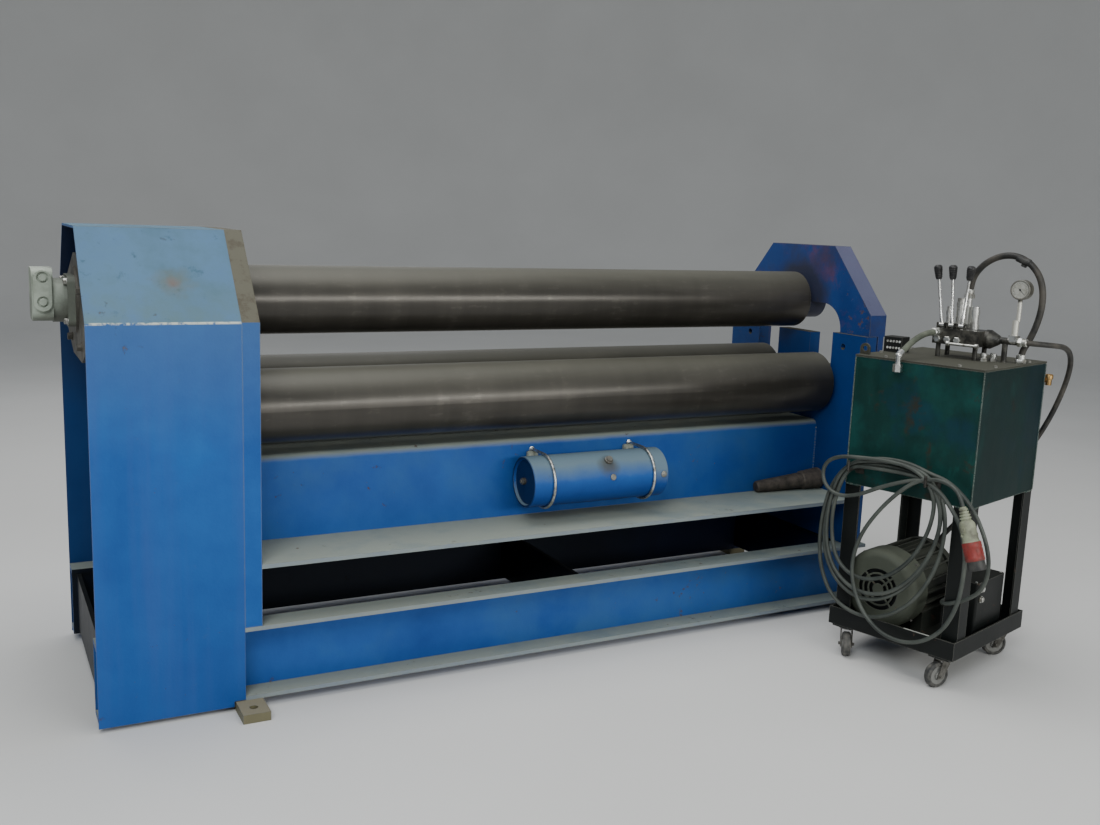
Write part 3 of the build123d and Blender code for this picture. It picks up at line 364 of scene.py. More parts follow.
cream = grimed(
    "plug_cream", (0.25, 0.27, 0.185), (0.11, 0.11, 0.08), grime=(38, 5), reach=(0.42, 0.66),
    rough=(0.4, 0.3), grain=(300, 2), depth=0.0003, Specular_IOR_Level=0.4,
)
collar_red = grimed(
    "plug_red", (0.205, 0.026, 0.021), (0.105, 0.028, 0.022), grime=(45, 5), reach=(0.45, 0.7),
    rough=(0.38, 0.3), grain=(300, 2), depth=0.0003, Specular_IOR_Level=0.4,
)
black_plastic = grimed(
    "black_plastic", (0.011, 0.012, 0.012), (0.045, 0.045, 0.04), grime=(60, 4), reach=(0.4, 0.7),
    rough=(0.35, 0.35), grain=(220, 2), depth=0.0003, Specular_IOR_Level=0.45,
)
plug_place = aim(on_pack(*PLUG_START), pack_way(-2, -11, -27))


def plug_body(shell):
    profile = [(0, 0), (0.0085, 0), (0.0092, 0.003)]
    for k in range(4):
        start = 0.005 + 0.008 * k
        low = 0.0095 + 0.0013 * k
        wide = low + 0.0022
        profile += [(wide, start), (wide, start + 0.0045), (low, start + 0.005), (low, start + 0.0078)]
    profile += [
        (0.0165, 0.040), (0.0205, 0.046), (0.0215, 0.052), (0.0220, 0.094), (0.0238, 0.096),
        (0.0238, 0.100), (0, 0.100),
    ]
    lathe(shell, plug_place, profile)
    for k in range(2):
        turn = Matrix.Rotation(math.pi * k + 0.5, 4, "Z")
        side = plug_place @ turn @ Matrix.Translation((0.0212, 0, 0.078))
        turned(shell, side @ Matrix.Rotation(math.pi / 2, 4, "Y"), [
            (0.0042, -0.002), (0.0042, 0.0018), (0.003, 0.0028),
        ], 14)
    slab(shell, plug_place, (-0.0255, -0.005, 0.052), (-0.018, 0.005, 0.074), 0.002)


def plug_collar(shell):
    turned(shell, plug_place, [
        (0.0245, 0.098), (0.0258, 0.101), (0.0258, 0.112), (0.0248, 0.114), (0.0248, 0.136),
        (0.0258, 0.138), (0.0258, 0.147), (0.0245, 0.150),
    ])
    for k in range(12):
        rib = plug_place @ Matrix.Rotation(math.tau * k / 12, 4, "Z")
        slab(shell, rib, (0.0235, -0.0012, 0.115), (0.0257, 0.0012, 0.135), 0.0004)


def plug_end(shell):
    turned(shell, plug_place, [
        (0.0236, 0.148), (0.0236, 0.170), (0.0225, 0.176), (0.0195, 0.176), (0.0195, 0.160),
    ])
    for k in range(5):
        pin = plug_place @ Matrix.Rotation(math.tau * k / 5, 4, "Z") @ Matrix.Translation((0.012, 0, 0.159))
        lathe(shell, pin, [(0, 0), (0.0025, 0), (0.0025, 0.010), (0, 0.0115)], 12)


plug = surface("plug_body", plug_body, cream)
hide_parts("cable_plug")
plug_ring = surface("plug_collar", plug_collar, collar_red)
plug_cap = surface("plug_end", plug_end, black_plastic)


def gland_boot(shell):
    place = aim(on_pack(-74, -128, 245), pack_way(-1, 0, 0))
    turned(shell, place, [
        (0.0120, 0), (0.0120, 0.004), (0.0100, 0.006), (0.0110, 0.008), (0.0092, 0.013),
        (0.0100, 0.015), (0.0086, 0.020), (0.0092, 0.022), (0.0079, 0.028), (0.0084, 0.030),
        (0.0068, 0.040),
    ])


boot = surface("gland_boot", gland_boot, black_plastic)
on_pack(*GLAND)


# Three hydraulic hoses of smooth black rubber over steel braid: the tall loop from the
# valve back to the tank, the pressure hose down behind the tank to the pump, and a short
# hose across the lid. Each ends in crimped, zinc-plated ferrules and hexagon nuts.
rubber = grimed(
    "hose_rubber", (0.012, 0.012, 0.011), (0.07, 0.062, 0.05), grime=(16, 5), reach=(0.4, 0.72),
    rough=(0.38, 0.35), grain=(210, 3), depth=0.0005, Specular_IOR_Level=0.4,
)
old_rubber = grimed(
    "old_hose_rubber", (0.052, 0.062, 0.045), (0.12, 0.13, 0.10), grime=(22, 5), reach=(0.35, 0.7),
    rough=(0.5, 0.3), grain=(180, 3), depth=0.0005, Specular_IOR_Level=0.35,
)
zinc = grimed(
    "zinc_plate", (0.66, 0.67, 0.64), (0.20, 0.185, 0.15), grime=(60, 5), reach=(0.45, 0.7),
    rough=(0.24, 0.35), grain=(260, 3), depth=0.0003, Metallic=1.0,
)
HOSES = {
    "return_hose": (0.019, 0.566, rubber, [
        (62, -8, 1114), (62, -8, 1148), (62, -18, 1186), (62, -46, 1220), (63, -88, 1243),
        (64, -134, 1247), (66, -176, 1229), (69, -207, 1194), (72, -221, 1150), (74, -222, 1100),
        (73, -213, 1050), (70, -197, 1002), (66, -180, 968), (66, -180, 936),
    ]),
    "pressure_hose": (0.016, 1.012, rubber, [
        (40, -180, 999), (40, -212, 999), (56, -245, 998), (92, -266, 995), (140, -274, 989),
        (187, -272, 969), (222, -264, 933), (240, -252, 887), (248, -236, 835), (251, -216, 777),
        (251, -190, 715), (249, -158, 653), (246, -120, 593), (240, -80, 535), (232, -38, 479),
        (221, 2, 425), (203, 38, 373), (178, 73, 318), (178, 73, 280),
    ]),
    "short_hose": (0.018, 0.201, old_rubber, [
        (-15, 45, 1010), (-46, 45, 1010), (-86, 46, 1007), (-127, 47.5, 997), (-166, 49, 981),
        (-206, 50, 959),
    ]),
}


def tape_wrap(shell):
    place = aim(on_pack(65.2, -158, 1233.5), pack_way(1, -42, -16))
    lathe(shell, place, [
        (0.0085, -0.020), (0.0108, -0.019), (0.0112, -0.004), (0.0106, 0.004), (0.0112, 0.013),
        (0.0108, 0.020), (0.0085, 0.021),
    ], 24)
    slab(shell, place, (-0.004, -0.017, 0.000), (0.004, -0.009, 0.016), 0.0015)


for name, (thickness, length, finish, route) in HOSES.items():
    points = [on_pack(*p) for p in route]
    hose = line(name + "_line", points, thickness, finish)
    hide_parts(name)
    ends = [(points[0], points[1] - points[0]), (points[-1], points[-2] - points[-1])]
    if name == "short_hose":
        ends.pop()
    for k, (spot, way) in enumerate(ends):
        def ferrule(shell, place=aim(spot, way), r=thickness / 2):
            turned(shell, place, [
                (r + 0.0030, 0), (r + 0.0035, 0.001), (r + 0.0035, 0.006), (r + 0.0022, 0.007),
                (r + 0.0022, 0.012), (r + 0.0032, 0.013), (r + 0.0032, 0.024), (r + 0.0014, 0.026),
                (r - 0.001, 0.0262),
            ], 28)
            turned(shell, place, [
                (r + 0.0052, -0.001), (r + 0.0062, 0.001), (r + 0.0062, 0.010), (r + 0.0052, 0.012),
            ], 6)
        surface(f"{name}_ferrule_{k + 1}", ferrule, zinc)
    if name == "return_hose":
        surface("hose_tape", tape_wrap, black_plastic)
    name == "short_hose"
    "fitting" if name == "short_hose" else "object"
    "taut" if name == "short_hose" else "hanging"


# The base is two rolled channels tied across at both ends, standing on four plates with
# a hole for an anchor bolt. Channels are brushed blue; the foot plates were once primed.
RUST = (0.10, 0.055, 0.035)
WORN_EDGE = (0.17, 0.17, 0.15)
PALE_DUST = (0.26, 0.285, 0.235)


def dress(names, finish):
    """Gives CAD nodes their finish, with their sharp edges kept."""
    for name in names.split():
        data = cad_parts[name].data
        data.materials.clear()
        data.materials.append(finish.material)
        data.shade_smooth()
        data.set_sharp_from_angle(angle=math.radians(30))


def painted(name, deep, pale, dust, dusty=0.85, wear_width=0.004, shine=0.42,
            streaks=0.5, chips=0.745, marks=None):
    """Brushed machine paint: blotches, runs down the sides, dust on what faces up, worn edges."""
    paint = Finish(name, Specular_IOR_Level=0.22)
    cloud = paint.noise(2.6, 6, rough=0.6)
    patch = paint.noise(11, 5, rough=0.6)
    runs = paint.noise(9, 4, stretch=(1, 1, 0.07))
    fine = paint.noise(150, 3)
    tone = (cloud * 0.5 + patch * 0.25 + runs * 0.25 * streaks).over(0.30, 0.62)
    paint.colour = paint.blend(tone, deep, pale)
    settled = (paint.facing("Z") + 0.35 * patch + 0.1 * cloud).over(0.32, 1.02) * dusty
    paint.coat(settled, dust)
    scrape = (paint.noise(34, 7, rough=0.75) * 0.8 + paint.noise(3.4, 2) * 0.4).over(chips, chips + 0.02)
    paint.coat(scrape * 0.8, RUST)
    rubbed = (paint.edges(wear_width) + (patch - 0.5) * 0.9).over(0.42, 0.72)
    paint.coat(rubbed * 0.8, WORN_EDGE)
    if marks:
        marks(paint, patch)
    paint.wear(
        roughness=(shine + 0.15 * patch + settled * 0.35 + scrape * 0.2).over(0, 1),
        metallic=rubbed * 0.4,
        bump=fine * 0.35 + runs * 0.25 + cloud * 0.5 - scrape * 0.6 - rubbed * 0.3,
        depth=0.0012,
    )
    return paint


RUBBED_EDGES_Z = (0.386, 0.2195, 0.0305)
LIP_FACE_Y = (0.3665, 0.3675)
CHANNEL_TOP_Z = (0.23, 0.24)
TIE_FACE_X = (1.045, 1.05)
CHANNEL_BACK_Y = (0.290, 0.2925)


def bed_wear_and_shade(paint, patch):
    dull = (0.45 * patch + 0.75 * paint.noise(1.4, 3)).over(0.56, 0.78)
    paint.coat(dull * 0.35, (0.035, 0.10, 0.17))
    height = paint.along("Z")
    depth = abs(paint.along("Y"))
    lip = depth.over(*LIP_FACE_Y) * abs(paint.facing("Y")).over(0.7, 0.9)
    shelf, upper, lower = (1 - abs(height - edge).over(0.0055, 0.0075) for edge in RUBBED_EDGES_Z)
    bands = shelf | upper | lower
    paint.coat(lip * bands * (0.5 + 0.5 * patch), PALE_DUST)
    # A painted shadow: a dark band on the web just under the top flange's lip.
    shadow_under_lip = height.over(0.196, 0.208) * (1 - height.over(0.2135, 0.2140))
    shadow_under_lip = shadow_under_lip * (1 - depth.over(0.305, 0.31))
    paint.coat(shadow_under_lip * 0.8, (0.003, 0.008, 0.03))
    # Painted shade: the inner faces of the channels, the ends of the ties and the low parts behind go
    # near-black.
    shaded_inner_faces = (0 - paint.facing("Y") * paint.along("Y") * 10).over(0.5, 1.0)
    low = 1 - height.over(*CHANNEL_TOP_Z)
    endways = abs(paint.facing("X")).over(0.6, 0.8)
    between = endways * (1 - abs(paint.along("X")).over(*TIE_FACE_X)) * low
    below = (1 - depth.over(*CHANNEL_BACK_Y)) * low
    paint.coat((shaded_inner_faces | between | below) * 0.97, (0.0035, 0.0045, 0.005))
    # Painted shade: the steep faces turn darker blue toward the right end.
    shade_at_right_end = (paint.along("X") + 0.3 * patch).over(0.55, 1.35)
    steep = 1 - paint.facing("Z").over(0.4, 0.7)
    paint.coat(shade_at_right_end * 0.45 * steep, (0.002, 0.014, 0.085))


blue = painted(
    "blue_paint", (0.006, 0.052, 0.235), (0.020, 0.108, 0.365), PALE_DUST, dusty=0.95, marks=bed_wear_and_shade,
)
dress("base_channels base_cross_ties", blue)
olive = painted("pad_paint", (0.13, 0.12, 0.07), (0.20, 0.18, 0.105), (0.22, 0.20, 0.14), streaks=0.2)
dress("foot_pads", olive)

# The side plates are flame-cut from 45 mm steel, with vertical slots for the bearing
# blocks. Their flanks are blue; the sloping cut edges are rubbed to bare brown steel.
BLUE = ((0.004, 0.058, 0.25), (0.015, 0.115, 0.385))
PALE_TOP_BLUE = (0.085, 0.155, 0.235)


def bare_slopes_and_shade(paint, patch):
    # Painted shade: the right plate's upright faces are darker blue.
    front = paint.along("X").over(0.9, 1.0) * (1 - paint.facing("Z").over(0.3, 0.5))
    paint.coat(front * (0.45 + 0.4 * patch), (0.002, 0.013, 0.075))
    # Paler and greyer toward the top of the left plate: painted light from above, and dust.
    haze = (paint.along("Z") + 0.10 * patch).over(0.74, 1.16) * 0.42
    paint.coat(haze * (1 - paint.along("X").over(-0.5, 0.5)), PALE_TOP_BLUE)
    slope = paint.facing("Z").over(0.36, 0.46)
    paint.coat(slope * 0.95, (0.098, 0.092, 0.064))
    stain = paint.noise(26, 6, rough=0.7).over(0.5, 0.62)
    paint.coat(slope * stain * 0.55, (0.055, 0.043, 0.030))


plate_blue = painted("plate_paint", *BLUE, (0.11, 0.11, 0.09), wear_width=0.005, marks=bare_slopes_and_shade)
dress("side_plate_left side_plate_right", plate_blue)

# The bed is a folded box of 10 mm sheet with rounded shoulders, over a dusty shelf along
# each side, welded to the plates. A dark plate closes the slot below the shelf at the rear,
# and strips of plate pack the ties out to the side plates.
dress("bed_beam bed_shelves", blue)
# Near-black paint for the rear slot panel and the packing strips: painted shade in the dark slot.
dark = painted(
    "dark_paint", (0.004, 0.006, 0.006), (0.012, 0.016, 0.014), (0.036, 0.037, 0.031),
    dusty=0.55, shine=0.4,
)
dress("rear_slot_panel", dark)
draw = random.Random(41)


def weld(shell, start, end, radius):
    """A hand-laid bead of overlapping ripples from start to end."""
    way = Vector(end) - Vector(start)
    count = max(2, int(way.length / (radius * 0.8)))
    place = aim(start, way)
    profile = [(0, -radius * 0.4)]
    for k in range(count):
        at = way.length * k / count
        wide = radius * draw.uniform(0.88, 1.1)
        profile += [(wide * 0.84, at), (wide, at + radius * 0.35)]
    lathe(shell, place, profile + [(0, way.length + radius * 0.3)], 8)


def bed_welds(shell):
    for x in (-1.0095, 1.0095):
        for y in (-0.1545, 0.1545):
            weld(shell, (x, y, 0.394), (x, y, 0.605), 0.0042)


def plate_packing(shell):
    for x in (-1.0325, 1.0325):
        strip = Matrix.Translation((x, 0, 0))
        slab(shell, strip, (-0.006, -0.292, 0.2098), (0.006, 0.292, 0.2252), 0.001)


surface("bed_welds", bed_welds, blue)
surface("plate_packing", plate_packing, dark)

# The drive end stands in a cover of 6 mm sheet, folded along the knee of the plates.
# Its slopes are faded and dusty, and the paint is rubbed off along the fold.
FOLD_Z = 1.0215
RUST_SPOT = (-1.204, -0.283, 1.117)
RUST_CORE = (-1.204, -0.283, 1.112)


def cover_wear_and_shade(paint, patch):
    height = paint.along("Z")
    upright = 1 - paint.facing("Z").over(0.3, 0.6)
    # Paler and greyer toward the top of the upright faces: painted light from above, and dust.
    faded = (height + 0.10 * patch).over(0.74, 1.16) * 0.42 * upright
    paint.coat(faded, PALE_TOP_BLUE)
    # Darker toward the bottom of the upright faces: painted shade.
    paint.coat((1 - height.over(0.0, 0.75)) * 0.45 * upright, (0.004, 0.042, 0.19))
    runs = paint.noise(16, 5, stretch=(1, 1, 0.05), rough=0.6)
    paint.coat(runs.over(0.48, 0.70) * 0.35 * upright, (0.035, 0.085, 0.27))
    slope = paint.facing("Z").over(0.4, 0.6)
    cloud = paint.noise(5.5, 6, rough=0.68)
    paint.coat(slope * (0.25 + 0.6 * cloud.over(0.42, 0.66)), (0.058, 0.118, 0.170))
    dusty_foot = slope * (1 - height.over(1.03, 1.13)) * patch.over(0.3, 0.6)
    paint.coat(dusty_foot * 0.5, (0.105, 0.165, 0.165))
    scuff = slope * paint.noise(24, 6, rough=0.72).over(0.60, 0.68)
    paint.coat(scuff * 0.65, (0.035, 0.085, 0.125))
    spot = (paint.near(RUST_SPOT, 0.07) + 1.1 * (paint.noise(30, 4) - 0.5)).over(0.18, 0.8)
    paint.coat(spot * 0.55, (0.105, 0.110, 0.070))
    core = (paint.near(RUST_CORE, 0.03) + 0.8 * (paint.noise(40, 4) - 0.5)).over(0.25, 0.9)
    paint.coat(core * 0.6, (0.15, 0.095, 0.078))
    # Painted shade: inner and downward faces go near-black, more so toward the top.
    shaded_inner_faces = (0 - paint.facing("Y") * paint.along("Y") * 10).over(0.3, 0.8)
    shaded_inner_faces = shaded_inner_faces | (0 - paint.facing("Z")).over(0.3, 0.6)
    paint.coat(shaded_inner_faces * (0.62 + 0.36 * height.over(0.7, 1.1)), (0.003, 0.010, 0.036))
    fold = 1 - abs(height - FOLD_Z).over(0.0015, 0.0038)
    scuffed = fold * (paint.noise(75, 5) + 0.5 * (cloud - 0.5)).over(0.40, 0.56) * (1 - shaded_inner_faces)
    paint.coat(scuffed, (0.50, 0.53, 0.47))


cover_blue = painted(
    "cover_paint", *BLUE, (0.115, 0.200, 0.245), streaks=0.9, chips=0.775, marks=cover_wear_and_shade
)
dress("left_cover_sides left_cover_top", cover_blue)

# Three solid forged rolls, turned and then rolled dark by years of greasy plate.
# The necks run in blocks; dust lies on the upper side of each roll.
steel = Finish("roll_steel", Specular_IOR_Level=0.5)
bands = steel.noise(7, 5, stretch=(2.2, 0.25, 0.25), rough=0.65)
smear = steel.noise(4, 5, stretch=(0.35, 1.8, 1.8), rough=0.6, twist=0.4)
speck = steel.noise(75, 4, stretch=(0.3, 1, 1))
settled = (steel.facing("Z") + 0.35 * smear).over(0.35, 1.25)
sheen = (bands * 0.35 + smear * 0.65).over(0.36, 0.66)
steel.colour = steel.blend(sheen, (0.036, 0.033, 0.028), (0.066, 0.060, 0.051))
steel.coat((speck * 0.6 + bands * 0.4).over(0.56, 0.66) * 0.35, (0.12, 0.11, 0.095))
steel.coat(settled * 0.8, (0.082, 0.081, 0.060))
steel.wear(
    roughness=(0.22 + 0.18 * smear + 0.3 * settled).over(0, 1),
    metallic=(0.55 - settled * 0.5).over(0, 1),
    bump=bands * 0.4 + speck * 0.25 + smear * 0.2, depth=0.0004,
)
dress("top_roll front_roll rear_roll", steel)

# The neck bearings sit in machined blocks that slide in the plates on round lift rods.
# Machined faces are grey, oily and stained brown near the paint.
machined = Finish("machined_steel", Metallic=0.6)
stain = machined.noise(13, 6, rough=0.65)
lathe_mark = machined.noise(60, 2, stretch=(0.15, 1, 3))
machined.colour = machined.blend(stain.over(0.35, 0.7), (0.20, 0.20, 0.18), (0.070, 0.062, 0.048))
machined.coat(machined.edges(0.003) * 0.6, (0.38, 0.38, 0.36))
machined.wear(
    roughness=(0.36 + 0.35 * stain).over(0, 1), bump=lathe_mark * 0.5 + stain * 0.5, depth=0.0005,
)
dress("front_bearing_blocks rear_bearing_blocks lift_cylinders", machined)
dress("reservoir_clamps", zinc)
greasy = Finish("greasy_steel", Metallic=0.35)
stain = greasy.noise(11, 6, rough=0.68)
film = greasy.noise(45, 5)
greasy.colour = greasy.blend(stain.over(0.36, 0.66), (0.040, 0.037, 0.031), (0.125, 0.118, 0.098))
greasy.wear(roughness=(0.3 + 0.45 * film).over(0, 1), bump=stain * 0.6 + film * 0.4, depth=0.0008)
dress("top_bearing_housing outboard_plate", greasy)


def bolt(shell, place, across, tall=0.62):
    """A hexagon head on its washer, standing on XY of the place."""
    turned(shell, place, [
        (across * 0.66, -0.0005), (across * 0.66, across * 0.10), (across * 0.60, across * 0.13),
    ], 20)
    turned(shell, place, [
        (across * 0.57, 0), (across * 0.57, across * tall), (across * 0.49, across * (tall + 0.07)),
    ], 6)


def bolts(name, places, across, finish, body="frame"):
    """One piece of equal bolts, each given as (start, direction)."""
    def build(shell):
        for start, way in places:
            bolt(shell, aim(start, way) @ Matrix.Rotation(draw.uniform(0, 1), 4, "Z"), across)
    surface(name, build, finish, body)


LEFTWARD = (-1, 0, 0)
TOP_ROLL_Z = 1.0495
HOUSING_CIRCLE = 0.103
eighths = [math.tau * (k + 0.5) / 8 for k in range(8)]
bolts("housing_bolts", [
    ((-1.075, HOUSING_CIRCLE * math.cos(turn), TOP_ROLL_Z + HOUSING_CIRCLE * math.sin(turn)), LEFTWARD)
    for turn in eighths
], 0.0115, greasy)
bolts("outboard_plate_bolts", [
    ((-1.403, side * y, z), LEFTWARD)
    for y, z in ((0.325, 1.003), (0.16, 1.085), (0.13, 0.94)) for side in (-1, 1)
], 0.019, greasy)

# The drop end is a thick cast yoke on two hinge lugs. It holds the right neck of the top
# roll in a bronze bush, and its sloping edges are mauve grey with scraped pink patches.
def yoke_wear_and_shade(paint, patch):
    across = (0, 1, 1)
    # Dark round the roll's axis: grease, and painted shade where the boss lies in shadow.
    grease_and_shade = (paint.near((0, 0, 1.05), 0.20, across) * 1.7 + 0.7 * (patch - 0.5)).over(0.20, 0.75)
    paint.coat(grease_and_shade * 0.8, (0.026, 0.023, 0.022))
    blush = paint.noise(7.5, 6, rough=0.7)
    ring = paint.near((0, -0.02, 1.06), 0.34, across).over(0.05, 0.45)
    pink = blush.over(0.50, 0.62) * ring * (1 - grease_and_shade)
    paint.coat(pink * 0.6, (0.105, 0.040, 0.070))
    stain = paint.noise(4.5, 6, rough=0.7)
    paint.coat(stain.over(0.50, 0.62) * 0.55, (0.030, 0.030, 0.060))
    slope = paint.facing("Z").over(0.30, 0.45) * (1 - paint.facing("Z").over(0.93, 0.98))
    paint.coat(slope * 0.8, (0.085, 0.090, 0.155))


yoke_blue = painted(
    "yoke_paint", (0.006, 0.026, 0.130), (0.018, 0.060, 0.21), (0.10, 0.105, 0.115),
    wear_width=0.005, marks=yoke_wear_and_shade,
)
dress("drop_end_yoke drop_end_hinges", yoke_blue)
bronze = grimed(
    "bronze", (0.42, 0.27, 0.11), (0.16, 0.10, 0.05), grime=(30, 5), reach=(0.4, 0.7),
    rough=(0.3, 0.3), depth=0.0003, Metallic=1.0,
)
dress("drop_end_bush", bronze)

# The hydraulic motor of the top roll is a grey-green casting with a port block on its end,
# held on the bearing by four screws. Oil has darkened it round the flange.
casting = Finish("motor_casting", Metallic=0.05, Specular_IOR_Level=0.45)
stain = casting.noise(9, 6, rough=0.65)
grain = casting.noise(190, 3)
casting.colour = casting.blend(stain.over(0.36, 0.68), (0.36, 0.41, 0.34), (0.15, 0.165, 0.13))
casting.coat((casting.facing("Z") + stain * 0.5).over(0.5, 1.2) * 0.5, (0.45, 0.50, 0.43))
OILY_FLANGE_X = (-1.480, -1.415)
oil = (casting.along("X").over(*OILY_FLANGE_X) + 0.8 * (stain - 0.5)).over(0.05, 0.75)
casting.coat(oil * 0.85, (0.062, 0.066, 0.052))
# Darker on downward faces: painted shade under the casting.
under = (0 - casting.facing("Z") + 0.5 * stain).over(0.20, 0.9)
casting.coat(under * 0.6, (0.085, 0.085, 0.068))
casting.wear(roughness=(0.42 + 0.3 * stain).over(0, 1), bump=grain * 0.5 + stain * 0.5, depth=0.0010)
dress("roll_motor", casting)
MOTOR_SCREW = 0.051
bolts("motor_bolts", [
    ((-1.427, MOTOR_SCREW * p, TOP_ROLL_Z + MOTOR_SCREW * q), LEFTWARD) for p in (-1, 1) for q in (-1, 1)
], 0.014, zinc)

# The oil reservoir is a welded tube on the front of the bed, held by two bent rods with
# nuts at the web and a pad under each. Plugs close its ends, and the filler and a second
# plug sit at the front.
def reservoir_dust_and_shade(paint, patch):
    up = paint.facing("Z") + 0.5 * (patch - 0.5)
    # Darker blue on downward faces: painted shade under the tube.
    paint.coat((0 - up).over(-0.25, 0.5) * 0.7, (0.004, 0.030, 0.17))
    settled = (up + paint.along("X").over(0.222, 0.236) * 0.45).over(0.15, 0.75)
    paint.coat(settled * 0.75, (0.135, 0.185, 0.185))
    rub = (paint.near((0.068, -0.300, 0.560), 0.06) + 0.8 * (patch - 0.5)).over(0.25, 0.7)
    paint.coat(rub * 0.75, (0.060, 0.058, 0.045))
    paint.coat(abs(paint.facing("X")).over(0.6, 0.9) * 0.85, (0.005, 0.012, 0.038))


tube_blue = painted("reservoir_paint", *BLUE, (0.045, 0.115, 0.23), dusty=0.6, marks=reservoir_dust_and_shade)
dress("oil_reservoir", tube_blue)
bolts("clamp_nuts", [
    ((x, -0.156, z), (0, -1, 0)) for x in (-0.127, 0.225) for z in (0.4348, 0.5992)
], 0.013, zinc)


def reservoir_plugs(shell):
    for spot, way in (((-0.192, -0.229, 0.518), LEFTWARD), ((0.262, -0.3130, 0.525), (0, -1, 0.1))):
        end = aim(spot, way)
        turned(shell, end, [(0.010, -0.014), (0.010, 0.003), (0.008, 0.004)], 24)
        bolt(shell, end @ Matrix.Translation((0, 0, 0.002)), 0.010, 0.5)
    cap = aim((0.072, -0.288, 0.5765), (0, -0.66, 0.75))
    turned(shell, cap, [
        (0.013, -0.004), (0.013, 0.005), (0.010, 0.006), (0.010, 0.011), (0.0085, 0.013),
    ], 24)
    front = aim((0.077, -0.3135, 0.529), (0, -1, 0.15))
    turned(shell, front, [(0.010, -0.003), (0.010, 0.002), (0.0075, 0.004)], 20)


surface("reservoir_plugs", reservoir_plugs, machined)
pale = grimed(
    "pad_cream", (0.34, 0.37, 0.31), (0.15, 0.16, 0.13), grime=(60, 5), reach=(0.42, 0.66),
    rough=(0.45, 0.3), grain=(240, 2), depth=0.0004, Specular_IOR_Level=0.4,
)


def clamp_pads(shell):
    for x in (-0.127, 0.220):
        pad = Matrix.Translation((x, -0.154, 0.582))
        slab(shell, pad, (-0.018, -0.014, -0.012), (0.018, 0.001, 0.012), 0.003)


surface("clamp_pads", clamp_pads, pale)

# A tapered bar with a thicker collar lies loose in the corner between shelf and bed.
# It is forged from old iron and brown with scale.
iron = grimed(
    "old_iron", (0.040, 0.035, 0.030), (0.12, 0.10, 0.082), grime=(38, 6, (1, 1, 1), 0.7),
    reach=(0.36, 0.66), rough=(0.5, 0.3), depth=0.0014, Metallic=0.4,
)
dress("loose_bar", iron)

# The power pack stands on four castors: a folded tray, four angle legs and the tank.
# Everything below the tank is black paint under oil and dust, darkened further as painted shade.
def tray_glint(paint, patch):
    spot = paint.near(on_pack(-224, -92, 150), 0.055).over(0.12, 0.2)
    upper_face = paint.along("Z").over(0.1484, 0.1494)
    paint.coat(spot * upper_face, (0.45, 0.46, 0.42))


pack_dark = painted(
    "pack_paint", (0.003, 0.004, 0.004), (0.008, 0.010, 0.009), (0.026, 0.027, 0.020),
    dusty=0.5, shine=0.4, marks=tray_glint,
)
dress("pack_tray pack_legs starter_box", pack_dark)
fork_steel = grimed(
    "castor_steel", (0.16, 0.155, 0.14), (0.035, 0.032, 0.026), grime=(45, 5), reach=(0.38, 0.66),
    rough=(0.4, 0.35), depth=0.0006, Metallic=0.6,
)
CASTORS = [(-190, -160, -20), (-190, 160, 35), (190, -160, -40), (190, 160, 10)]
CASTOR_TRAIL = 0.022
AXLE_Z = 0.0375
tyre = Finish("castor_rubber")
grime = tyre.noise(55, 5)
hubs = []
for k, (a, b, degrees) in enumerate(CASTORS):
    swivel = Matrix.Rotation(math.radians(degrees), 4, "Z")
    spot = PACK_PLACE @ Matrix.Translation((a / 1000, b / 1000, 0)) @ swivel
    axle = spot @ Vector((-CASTOR_TRAIL, 0, AXLE_Z))
    hubs.append(tyre.near(axle, 0.06).over(0.50, 0.55))
    way = spot.to_3x3() @ Vector((0, 1, 0))
    fork = f"castor_fork_{k + 1}"
    dress(fork, fork_steel)
    nuts = [(axle + 0.018 * side * way, side * way) for side in (-1, 1)]
    bolts(f"axle_nuts_{k + 1}", nuts, 0.009, fork_steel, fork)
tyre.colour = tyre.blend(grime.over(0.4, 0.68), (0.030, 0.031, 0.030), (0.13, 0.125, 0.11))
tyre.coat(hubs[0] | hubs[1] | hubs[2] | hubs[3], (0.17, 0.17, 0.16))
tyre.wear(roughness=0.6 + 0.2 * grime, bump=grime, depth=0.0006)
dress("castor_wheel_1 castor_wheel_2 castor_wheel_3 castor_wheel_4", tyre)

# The tank is welded from 4 mm sheet and brushed dark green, its lid is bare brown-grey
# sheet with a folded eye. Its edges carry a painted highlight, broken up like rubbed paint.
green = Finish("tank_green", Specular_IOR_Level=0.2)
cloud = green.noise(3.1, 6, rough=0.62)
brush = green.noise(15, 5, stretch=(1, 1, 0.35), rough=0.62)
fine = green.noise(120, 3)
tone = (cloud * 0.55 + brush * 0.45).over(0.34, 0.60)
green.colour = green.blend(tone, (0.002, 0.015, 0.013), (0.004, 0.034, 0.029))
wide = green.noise(5.5, 5, rough=0.6)
green.coat(wide.over(0.50, 0.66) * 0.7, (0.005, 0.056, 0.050))
green.coat(brush.over(0.62, 0.70) * 0.45, (0.007, 0.075, 0.066))
green.coat(cloud.over(0.55, 0.62) * 0.4, (0.003, 0.022, 0.055))
green.coat(green.noise(8, 6, rough=0.7).over(0.59, 0.66) * 0.8, (0.024, 0.021, 0.013))
# Painted shade: faces turned toward -Y, the right face in view, go darker.
green.coat((0 - green.facing("Y")).over(0.75, 0.9) * 0.65, (0.0012, 0.008, 0.009))
